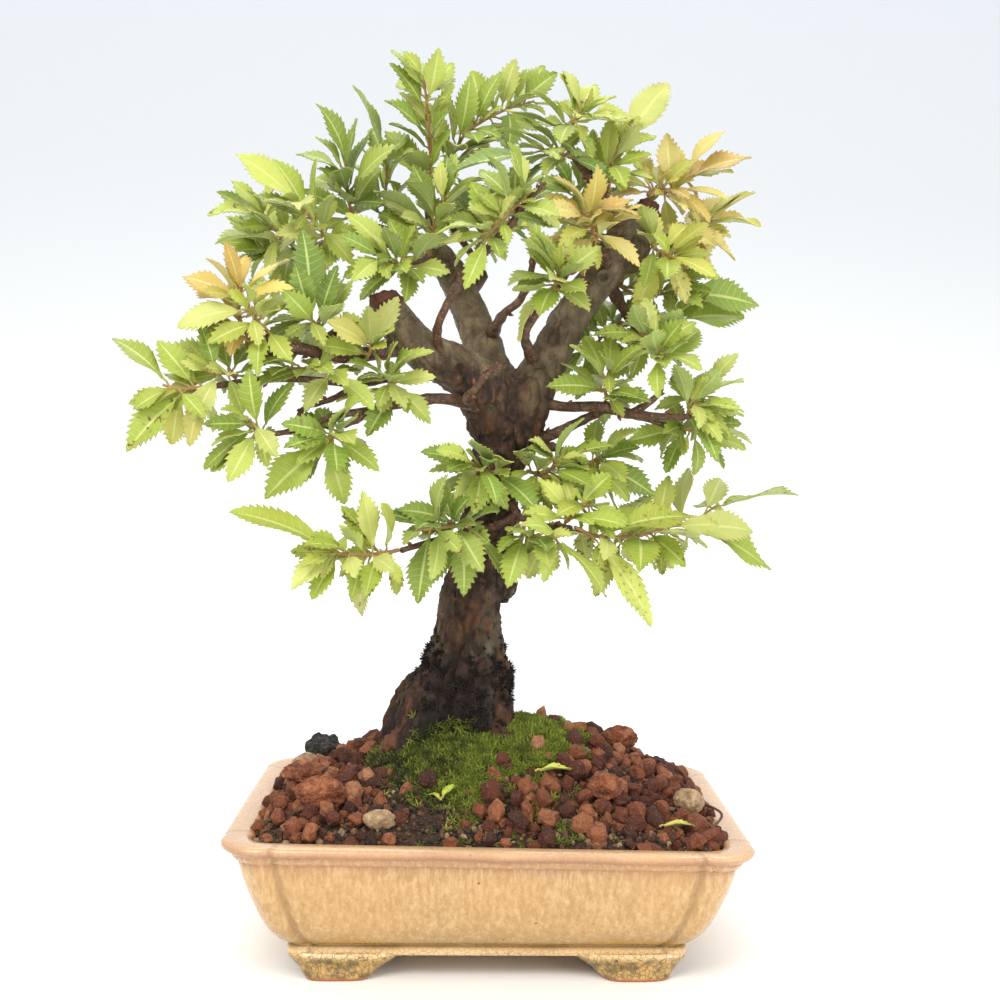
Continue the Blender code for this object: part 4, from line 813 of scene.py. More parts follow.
BRANCHES = [
    [(47, 13, 232, 4.5), (43, 11, 239, 3.6), (35, 8, 247, 2.4), (33, 8, 252, 2), (28, 6, 258, 1.7),
     (24, 6, 265, 1.1)],
    [(-25, -14, 195, 3.4), (-33, -18, 193, 2.9), (-41, -24, 191, 2.5), (-49, -32, 190, 2.1),
     (-58, -38, 192, 2), (-65, -42, 191, 1.9), (-71, -46, 190, 1.6)],
    [(1, -4, 175, 3), (-5, -8, 176, 2.3), (-16, -14, 178, 1.9), (-29, -22, 176, 1.7), (-37, -30, 173, 1.4),
     (-45, -34, 169, 1.1)],
    [(-35, -28, 174, 1.4), (-47, -36, 172, 1.1), (-56, -42, 168, 1), (-66, -46, 166, 0.8)],
    [(-14, -8, 186, 2.4), (-23, -14, 185, 1.6), (-32, -20, 184, 1.4), (-42, -26, 182, 1.3),
     (-58, -34, 183, 1.1), (-72, -42, 182, 1), (-82, -48, 180, 0.9)],
    [(-40, -25, 182.5, 1.1), (-49, -32, 177, 0.9), (-57, -36, 174, 0.8), (-59, -38, 169, 0.7)],
    [(-16, -13, 191, 2), (-17, -24, 199, 1.4), (-13, -30, 208, 1.4), (-7, -34, 217, 1.4), (-1, -38, 223, 1.4),
     (5, -40, 229, 1.2), (9, -42, 235, 1), (15, -44, 241, 0.8)],
    [(0, 12, 200, 2.4), (4, -2, 206, 1.5), (9, -6, 210, 1.4), (12, -8, 217, 1.2), (13, -10, 222, 1.1),
     (13, -12, 229, 1)],
    [(15, 2, 190, 2.4), (11, -8, 197, 1.7), (12, -10, 202, 1.5), (18, -14, 210, 1.4), (23, -18, 217, 1.3),
     (27, -20, 223, 1.1)],
    [(-3, -6, 176, 2), (-8, -15, 178, 1.4), (-5, -20, 181, 1.3), (-1, -22, 186, 1.2), (3, -24, 188, 0.9)],
    [(10, 1, 177, 3), (18, 0, 177, 2.3), (24, -2, 176, 1.8), (36, -4, 176, 2), (45, -6, 174, 1.7),
     (55, -8, 173, 1.3), (64, -10, 173, 1)],
    [(46, -6, 174, 1.3), (52, -8, 178, 1.1), (55, -8, 182, 1), (54, -9, 188, 0.8)],
    [(10, 2, 165, 3), (18, 2, 166, 2.2), (25, 2, 169, 1.8), (33, 0, 173, 1.6), (37, -3, 175, 1.4)],
    [(42, -5, 174, 1.2), (52, -2, 172, 1), (61, 2, 169, 0.8)],
    [(10, 3, 163, 3), (18, 4, 163, 2), (23, 4, 162, 1.4), (28, 4, 158, 1), (32, 4, 156, 0.8)],
    [(0, -2, 150, 2.4), (4, -12, 148, 1.6), (7, -18, 145, 1.4), (9, -21, 141, 1.3), (12, -23, 140, 1.1),
     (19, -25, 138, 0.9), (25, -27, 138, 0.8)],
    [(9, -20, 141.5, 1.3), (2, -21, 138, 1.2), (-5, -22, 136.5, 1.1), (-16, -28, 134, 1.1),
     (-27, -33.5, 131, 0.9)],
    [(45, 14, 234, 3), (54, 18, 234, 2.2), (60, 21, 234, 1.8), (64, 22.5, 235.5, 1.4)],
    [(37, 12, 222, 3), (44, 18, 212, 2), (48, 22, 206, 1.4), (52, 22, 202, 1)],
    [(38, 8, 223, 2.6), (37, 2, 226, 1.8), (33, -3, 229, 1.3)],
    [(-9, 22, 214, 2.6), (-3, 32, 222, 1.8), (-7, 33, 230, 1.4), (-16, 32, 243, 1.2), (-16, 30, 254, 0.9)],
    [(-19, 29, 229, 2.6), (-21, 25, 238, 1.8), (-22, 24, 247, 1.3)],
    [(-31, 32, 234, 2), (-37, 25, 237, 1.5), (-45, 14, 237, 1.1)],
    [(-47, 34, 234, 1.8), (-51, 18, 232, 1.4), (-53, 4, 230.5, 1)],
    [(-13, 25, 222, 2.4), (-20, 8, 224, 1.7), (-25, -5, 221.5, 1.2)],
    [(-31, -20, 203, 2.4), (-40, -26, 201, 1.6), (-51, -32, 196, 1.1)],
    [(-65, -42, 191.5, 1.4), (-67, -42, 195, 1.1)],
]
BARK_BURLS = [((3, 3, 125), 6.0), ((4, 3, 116), 5.6), ((46, 12, 229), 7.4)]
ROOTS = [
    [(-17, -6, 70, 8), (-27, -12, 64, 7), (-34, -17, 57, 4.6), (-40, -21, 51, 2.4)],
    [(-5, -7, 71, 8), (5, -14, 65, 7), (12, -19, 59, 4.6), (19, -23, 52, 2.2)],
    [(-20, 4, 70, 7), (-30, 9, 64, 5.6), (-38, 14, 57, 3), (-42, 17, 52, 2)],
    [(-3, 5, 71, 7), (9, 11, 65, 5.6), (17, 16, 59, 3), (22, 19, 53, 2)],
    [(-12, 9, 70, 7), (-13, 20, 64, 5), (-13, 29, 57, 2.6), (-13, 33, 52, 1.8)],
]


def smooth_route(route, between):
    """The same route with points added along a smooth curve through it."""
    knots = [Vector(point) for point in route]
    done = []
    for i in range(len(knots) - 1):
        before = knots[max(i - 1, 0)]
        here, there = knots[i], knots[i + 1]
        after = knots[min(i + 2, len(knots) - 1)]
        for step in range(between):
            t = step / between
            done.append(
                0.5 * ((2 * here) + (there - before) * t + (2 * before - 5 * here + 4 * there - after) * t * t
                       + (3 * here - before - 3 * there + after) * t ** 3)
            )
    return done + [knots[-1]]


def frames(points):
    """A pair of steady cross directions at each point of a path."""
    pairs = []
    side = None
    for i, point in enumerate(points):
        along = (points[min(i + 1, len(points) - 1)] - points[max(i - 1, 0)]).normalized()
        if side is None:
            side = along.orthogonal().normalized()
        side = (side - along * side.dot(along)).normalized()
        pairs.append((side.copy(), along.cross(side)))
    return pairs


def limb(route, sides, rng, rough, between=1):
    """One tapered member with slightly uneven rings, rounded off at its free end."""
    stations = smooth_route(route, between) if between > 1 else [Vector(point) for point in route]
    centres = [Vector(station[:3]) for station in stations]
    radii = [station[3] for station in stations]
    ridge = [rng.uniform(-rough, rough) for _ in range(sides)]
    rings = []
    for centre, radius, (side, across) in zip(centres, radii, frames(centres)):
        ring = []
        for i in range(sides):
            angle = math.tau * i / sides
            reach = radius * (1 + ridge[i] + rng.uniform(-rough, rough) * 0.5)
            ring.append(centre + (side * math.cos(angle) + across * math.sin(angle)) * reach)
        rings.append(ring)
    return rings


def trunk_rings(extra):
    """The trunk as packed, fluted at the foot where the roots run in."""
    rng = random.Random(7)
    sides = 18
    ridge = [rng.uniform(-0.05, 0.05) for _ in range(sides)]
    rings = []
    for x, y, z, radius in TRUNK:
        flare = min(1, max(0, (100 - z) / 40))
        ring = []
        for i in range(sides):
            angle = math.tau * i / sides
            flute = 0.13 * math.cos(2 * angle) + 0.1 * math.cos(5 * (angle + math.radians(54)))
            reach = radius * (1 + flare * flute + ridge[i] + rng.uniform(-0.02, 0.02)) + extra
            ring.append((x + reach * math.cos(angle), y + reach * 0.92 * math.sin(angle), z - extra))
        rings.append(ring)
    return rings


def lump(name, centre, radius, seed, squash=(1, 1, 1), rough=0.16, mat=None, detail=2):
    """A rough closed lump: a ball whose points are pushed in and out."""
    rng = random.Random(seed)
    shell = bmesh.new()
    bmesh.ops.create_icosphere(shell, subdivisions=detail, radius=1)
    for vertex in shell.verts:
        vertex.co *= 1 + rng.uniform(-rough, rough)
        vertex.co = Vector((vertex.co.x * squash[0], vertex.co.y * squash[1],
                            vertex.co.z * squash[2])) * radius
    points = [vertex.co + Vector(centre) for vertex in shell.verts]
    faces = [tuple(vertex.index for vertex in face.verts) for face in shell.faces]
    shell.free()
    return make_object(name, points, faces, mat)


def joined(name, pieces):
    """One object that holds the meshes of several, which are removed."""
    whole = bmesh.new()
    for piece in pieces:
        whole.from_mesh(piece.data)
        bpy.data.objects.remove(piece, do_unlink=True)
    mesh = bpy.data.meshes.new(name)
    whole.to_mesh(mesh)
    whole.free()
    obj = bpy.data.objects.new(name, mesh)
    bpy.context.collection.objects.link(obj)
    return obj


def thick_trunk():
    """The trunk with rounded flutes where the roots run into it."""
    rng = random.Random(7)
    ridge = [rng.uniform(-0.05, 0.05) for _ in range(18)]
    rings = []
    for x, y, z, radius in smooth_values(TRUNK, 4):
        flare = min(1, max(0, (100 - z) / 40))
        ring = []
        for i in range(72):
            angle = math.tau * i / 72
            flute = 0.13 * math.cos(2 * angle) + 0.1 * math.cos(5 * (angle + math.radians(54)))
            low, part = divmod(i / 4, 1)
            swell = ridge[int(low)] * (1 - part) + ridge[(int(low) + 1) % 18] * part
            reach = radius * (1 + flare * flute + swell)
            ring.append((x + reach * math.cos(angle), y + reach * 0.92 * math.sin(angle), z))
        rings.append(ring)
    return make_object("trunk", *loft(rings))


def round_member(route, sides, between, swell=0.05, seed=0):
    """A tapered round member with soft swellings along it."""
    stations = smooth_route(route, between)
    rings = []
    centres = [Vector(station[:3]) for station in stations]
    for k, (station, centre, (side, across)) in enumerate(zip(stations, centres, frames(centres))):
        ring = []
        for i in range(sides):
            angle = math.tau * i / sides
            lump = swell * noise.noise(Vector((math.cos(angle) * 1.3, math.sin(angle) * 1.3,
                                               k * 0.35 + seed * 9.7)))
            out = (side * math.cos(angle) + across * math.sin(angle)) * station[3]
            ring.append(centre + out * (1 + lump))
        rings.append(ring)
    return make_object("member", *loft(rings))


def skin_over(body, voxel, passes):
    """Runs joined members together under one skin, with soft creases where they meet."""
    remesh = body.modifiers.new("skin", "REMESH")
    remesh.mode = "VOXEL"
    remesh.voxel_size = voxel * MM
    soften = body.modifiers.new("soften", "SMOOTH")
    soften.factor = 0.5
    soften.iterations = passes
    return applied(body)


def spread(value, low, high):
    share = min(1, max(0, (value - low) / (high - low)))
    return share * share * (3 - 2 * share)


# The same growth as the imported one. It is only measured against, to see where leaves fit.
plain_wood = make_object("plain_wood", *loft(trunk_rings(0)))
rng = random.Random(11)
plain_members = [make_object("limb", *loft(limb(route, 10, rng, 0.06))) for route in LIMBS]
plain_members += [make_object("root", *loft(limb(route, 8, random.Random(3), 0.0))) for route in ROOTS]
plain_members += [make_object("branch", *loft(limb(route, 5, rng, 0.07))) for route in BRANCHES]
plain_members += [lump("burl", centre, radius, 20 + i) for i, (centre, radius) in enumerate(BARK_BURLS)]
cut(plain_wood, plain_members, "UNION")
wood_points = [vertex.co / MM for vertex in plain_wood.data.vertices]
wood_faces = [tuple(face.vertices) for face in plain_wood.data.polygons]
bpy.data.objects.remove(plain_wood, do_unlink=True)

STUBS = [((-33.5, -22, 209), 6.0), ((52, 15.5, 242), 9.0), ((-71, -46, 190), 3.0)]
SCARS = [((19.5, 0.5, 199), (3.6, 4.2)), ((22, 1, 207), (1.6, 1.4)), ((-10, -14, 188), (2.0, 1.6)),
         ((37, 3, 219), (2.2, 1.8)), ((3, -9, 158), (3.4, 3.0)), ((-9, -12, 108), (2.4, 3.2))]

thick = [thick_trunk()]
thick += [round_member(route, 26, 4, 0.16, k) for k, route in enumerate(LIMBS)]
thick += [round_member(route, 20, 4, 0.3, 5 + k) for k, route in enumerate(ROOTS)]
thick += [lump("burl", centre, radius, 20 + i, detail=3, rough=0.08)
          for i, (centre, radius) in enumerate(BARK_BURLS)]
trunk = skin_over(joined("trunk_and_limbs", thick), 0.62, 3)
trunk.data.shade_smooth()


def limb_share(spot):
    """0 on the old rough trunk, 1 out on the smooth limbs."""
    return spread(spot.z + 16 * noise.noise(spot / 9), 160, 208)


def patch_at(spot, x, z, wide, tall, power=4):
    """1 on a patch of the trunk's front, fading to 0 round it."""
    return spread(-spot.y, -3, 4) * math.exp(-abs((spot.x - x) / wide) ** power
                                             - abs((spot.z - z) / tall) ** power)


layers = {name: [] for name in ("smoothness", "crack", "scar", "stub", "damp", "hollow", "grey",
                                "crumb_share", "tuft_share")}
trunk.data.update()
normals = [vertex.normal.copy() for vertex in trunk.data.vertices]
for i, vertex in enumerate(trunk.data.vertices):
    spot = vertex.co / MM
    smooth_bark = limb_share(spot)
    near_stub = max(spread(reach - (spot - Vector(place)).length, -2, 3) for place, reach in STUBS)
    plate = Vector((spot.x / 4.6, spot.y / 4.6, spot.z / 8.5)) + 0.5 * noise.noise_vector(spot / 7)
    near, far = noise.voronoi(plate)[0][:2]
    crack = 1 - spread(far - near, 0.0, 0.28)
    flakes = noise.fractal(Vector((spot.x / 2.4, spot.y / 2.4, spot.z / 4.2)), 0.8, 2.0, 4)
    ribs = noise.noise(Vector((spot.x / 3.4, spot.y / 3.4, spot.z / 22)))
    rough = (0.8 * flakes - 0.5 * crack + 0.9 * ribs + 0.6 * noise.noise(plate * 0.6)) * (1 - smooth_bark)
    wrinkle = 0.16 * noise.noise(Vector((spot.x / 3, spot.y / 3, spot.z / 0.9)))
    wrinkle += 0.3 * noise.noise(spot / 3.4)
    pores = max(0.0, 0.3 - noise.voronoi(spot / 2.3)[0][0]) * 0.9
    push = rough + (wrinkle + pores) * smooth_bark
    push += near_stub * 1.1 * noise.fractal(spot / 2.2, 0.8, 2.0, 3)
    scar = 0.0
    for place, (wide, tall) in SCARS:
        away = Vector(((spot.x - place[0]) / wide, (spot.y - place[1]) / (wide * 1.6),
                       (spot.z - place[2]) / tall)).length
        if away < 1.6:
            scar = max(scar, 1 - spread(away, 0.7, 1.0))
            lip = spread(away, 0.7, 1.05) - spread(away, 1.1, 1.6)
            push += 0.7 * lip - 0.8 * (1 - spread(away, 0.5, 0.85))
    damp = 1 - spread(spot.z + 6 * noise.noise(spot / 6), 62, 92)
    ragged = 0.5 + noise.noise(spot / 4) + 0.5 * noise.noise(spot / 1.7)
    # Painted shade: the hollow at the front of the foot is dented only a little and painted near black, partly
    # its dark rotten wood, partly the shade that a deeper hollow holds.
    hollow = patch_at(spot, -9, 77, 12, 17)
    edges = patch_at(spot, 6, 88, 5, 9, 2) + patch_at(spot, -21, 95, 5, 7, 2)
    grey = patch_at(spot, -18, 100, 4, 17, 2) + patch_at(spot, 1, 98, 4, 17, 2)
    grown = patch_at(spot, -14, 62, 10, 11)
    push -= 1.3 * hollow
    vertex.co = (spot + normals[i] * push) * MM
    for name, value in (
        ("smoothness", smooth_bark * (1 - near_stub)), ("crack", crack), ("scar", scar), ("stub", near_stub),
        ("damp", damp), ("hollow", hollow), ("grey", grey * ragged),
        ("crumb_share", (hollow + edges) * ragged), ("tuft_share", grown * ragged * 1.6),
    ):
        layers[name].append(min(1.0, max(0.0, value)))
for name, values in layers.items():
    note(trunk, name, values)

bark = Finish("elm_bark")
smoothness, crack = bark.reads("smoothness"), bark.reads("crack")
flaky = bark.noise(bark.sized(2.4, 2.4, 4.4), 6, 0.68)
broad = bark.noise(bark.sized(9, 9, 16), 4)
old = bark.ramp(flaky, [(0.26, paint(20, 13, 9)), (0.45, paint(50, 33, 21)), (0.58, paint(82, 56, 36)),
                        (0.74, paint(128, 98, 70))])
old = bark.mix(bark.steps(broad, 0.47, 0.66, 0.0, 0.7), old, paint(110, 68, 42))
lichen = bark.steps(bark.noise(bark.sized(5, 5, 9), 5, 0.7), 0.6, 0.72, 0.0, 0.6)
old = bark.mix(lichen, old, paint(134, 128, 108))
old = bark.mix(bark.times(crack, 0.45), old, paint(16, 11, 8))
young = bark.ramp(bark.noise(bark.sized(5.2), 5, 0.6), [(0.3, paint(62, 48, 32)), (0.5, paint(104, 87, 62)),
                                                        (0.68, paint(138, 120, 90))])
young = bark.mix(bark.steps(broad, 0.42, 0.66, 0.0, 0.7), young, paint(88, 80, 52))
pore_dots = bark.steps(bark.cells(bark.sized(2.1, 2.1, 1.7)), 0.26, 0.12)
pore_here = bark.steps(bark.noise(bark.sized(6), 2), 0.4, 0.6, 0.15, 1.0)
lenticels = bark.times(pore_dots, pore_here)
young = bark.mix(bark.times(lenticels, 0.85), young, paint(170, 88, 44))
young = bark.mix(bark.steps(bark.noise(bark.sized(1.2), 3), 0.58, 0.7, 0.0, 0.4), young, paint(66, 48, 34))
ragged = bark.plus(smoothness, bark.times(bark.maths("SUBTRACT", broad, 0.5), 0.9))
skin_colour = bark.mix(bark.steps(ragged, 0.3, 0.7), old, young)
skin_colour = bark.mix(bark.steps(bark.reads("stub"), 0.1, 0.8, 0.0, 0.8), skin_colour,
                       bark.mix(flaky, paint(40, 25, 16), paint(118, 66, 40)))
skin_colour = bark.mix(bark.times(bark.reads("scar"), 0.5), skin_colour, paint(48, 35, 26))
damp = bark.reads("damp")
red_side = bark.steps(bark.noise(bark.sized(11, 11, 15), 3), 0.46, 0.62)
wet_colour = bark.mix(red_side, paint(21, 14, 10), paint(112, 66, 42))
skin_colour = bark.mix(bark.times(damp, 0.8), skin_colour, wet_colour)
skin_colour = bark.mix(bark.times(bark.reads("grey"), 0.75), skin_colour,
                       bark.mix(flaky, paint(84, 76, 62), paint(146, 138, 118)))
# Painted shade: the front hollow is painted near black, partly dark rotten wood, partly the shade in the
# hollow.
skin_colour = bark.mix(bark.times(bark.reads("hollow"), 0.85), skin_colour, paint(17, 12, 9))
bark_skin = bark.bump(flaky, 0.8)
bark_skin = bark.bump(bark.times(crack, -1.0), 0.5, bark_skin)
bark_skin = bark.bump(lenticels, 0.2, bark_skin)
bark_skin = bark.bump(bark.noise(bark.sized(0.7), 3), 0.15, bark_skin)
bark.set(base_color=skin_colour, roughness=bark.steps(smoothness, 0.0, 1.0, 0.88, 0.62), normal=bark_skin)
trunk.data.materials.clear()
trunk.data.materials.append(bark.material)

crumbs = Finish("black_bark_crumbs")
crumbs.set(base_color=crumbs.mix(crumbs.reads("tone"), paint(16, 12, 9), paint(54, 40, 28)), roughness=0.9)
bark_crumbs = scattered("bark_crumbs", trunk, tuft_tree("rot_bark", tuft, crumbs.material, "crumb_share"),
                        spacing=0.0007, density=1800000.0, smallest=0.0009, largest=0.0026, seed=4)
trunk_moss = scattered("trunk_moss", trunk, plant_moss, spacing=0.0005, density=3600000.0, smallest=0.0009,
                       largest=0.0028, seed=9)
bpy.data.objects.remove(tuft, do_unlink=True)
finished(bark_crumbs, "bark")
finished(trunk_moss, "moss")
finished(trunk, "bark", "tree_wood")


def twig(route, seed):
    """A thin branch with a collar where it leaves its limb and a swelling at each old bud."""
    stations = smooth_route([Vector(point) for point in route], 6)
    centres = [Vector(station[:3]) for station in stations]
    rng = random.Random(seed)
    beat, start = rng.uniform(4.2, 5.6), rng.uniform(0, 3)
    rings, along = [], 0.0
    for k, (station, centre, (side, across)) in enumerate(zip(stations, centres, frames(centres))):
        if k:
            along += (centre - centres[k - 1]).length
        knuckle = max(0.0, math.cos(math.tau * (along + start) / beat)) ** 6
        radius = station[3] * (0.92 + 0.16 * knuckle + 0.35 * math.exp(-along / 2.5)) + 0.12 * knuckle
        ring = []
        for i in range(12):
            angle = math.tau * i / 12
            lump = 0.07 * noise.noise(Vector((math.cos(angle), math.sin(angle), along / 1.6 + seed * 3.3)))
            ring.append(centre + (side * math.cos(angle) + across * math.sin(angle)) * radius * (1 + lump))
        rings.append(ring)
    tip = centres[-1] + (centres[-1] - centres[-2]).normalized() * stations[-1][3]
    rings.append([centres[-1].lerp(tip, 0.8) + (point - centres[-1]) * 0.55 for point in rings[-1]])
    return make_object("twig", *loft(rings))


def buds():
    """Small pointed winter buds, one on alternate sides at each swelling of a twig."""
    rng = random.Random(31)
    made = []
    for route in BRANCHES:
        stations = smooth_route([Vector(point) for point in route], 6)
        for k in range(7, len(stations) - 2, 3):
            if stations[k][3] > 2.4 or rng.random() < 0.3:
                continue
            here = Vector(stations[k][:3])
            along = (Vector(stations[k + 1][:3]) - here).normalized()
            out = (Vector([rng.uniform(-1, 1) for _ in range(3)]).cross(along)).normalized()
            aim = (out + along * 0.8).normalized()
            size = rng.uniform(0.75, 1.25)
            base = here + out * stations[k][3] * 0.8
            rings = []
            for part, width in ((0, 0.5), (0.35, 0.62), (0.7, 0.46), (1.0, 0.22), (1.25, 0.05)):
                middle = base + aim * size * part * 1.5
                cross = aim.orthogonal().normalized()
                other = aim.cross(cross)
                rings.append([middle + (cross * math.cos(math.tau * i / 6)
                                        + other * math.sin(math.tau * i / 6)) * width * size
                              for i in range(6)])
            made.append(make_object("bud", *loft(rings)))
    return made


twigs = joined("twigs", [twig(route, k) for k, route in enumerate(BRANCHES)])
twigs.data.shade_smooth()
rind = Finish("twig_rind")
tint = rind.noise(rind.sized(7), 3)
flecks = rind.noise(rind.sized(1.8), 4, 0.65)
rind_colour = rind.ramp(flecks, [(0.3, paint(44, 30, 21)), (0.5, paint(82, 58, 40)), (0.7, paint(124, 96, 70))])
rind_colour = rind.mix(rind.steps(tint, 0.4, 0.7, 0.0, 0.5), rind_colour, paint(96, 58, 38))
dots = rind.steps(rind.cells(rind.sized(1.5)), 0.22, 0.1)
rind_colour = rind.mix(rind.times(dots, 0.8), rind_colour, paint(190, 128, 82))
rind_skin = rind.bump(rind.noise(rind.sized(0.8), 4), 0.25)
rind_skin = rind.bump(dots, 0.12, rind_skin)
rind.set(base_color=rind_colour, roughness=rind.steps(tint, 0.3, 0.7, 0.7, 0.52), normal=rind_skin)
twigs.data.materials.clear()
twigs.data.materials.append(rind.material)
finished(twigs, "bark")
bud_set = joined("buds", buds())
bud_set.data.shade_smooth()
scale_brown = Finish("bud_scales")
scale_colour = scale_brown.mix(scale_brown.noise(scale_brown.sized(1.1), 3), paint(74, 30, 22),
                               paint(150, 84, 54))
scale_sheen = scale_brown.steps(scale_brown.noise(scale_brown.sized(0.5), 2), 0.3, 0.7, 0.4, 0.6)
scale_skin = scale_brown.bump(scale_brown.noise(scale_brown.sized(0.4), 3), 0.15)
scale_brown.set(base_color=scale_colour, roughness=scale_sheen, normal=scale_skin)
bud_set.data.materials.append(scale_brown.material)
finished(bud_set, "bark")

# ----------------------------------------------------------------------------------------------------
# The leafy shoots. This year's growth: thin reddish stems with toothed elm leaves set alternately on short
# stalks. A leaf is a thin blade, folded along its midrib and quilted between the side veins that run out to
# its teeth.

GAP = 0.3
LEAF_THICKNESS = 0.45
LEAF_FOLD = 0.16
LEAF_STATIONS = (0.14, 0.42, 0.74, 1.0)
LEAF_SLIMNESS = (0.4, 0.52)
SHORTEST_LEAF = 8.0
USUAL_LEAF = 18.0
WIDEST_LEAF = 14.0
STEM_RADIUS = 0.65
CROWN_HEART_Z = 195.0
FILLER_Y = 50.0
NODE_LENGTH = 0.9
YOUNG_LEAF_TRIES = 110
FARTHEST_TIP = (108.0, 57.0, 297.0)

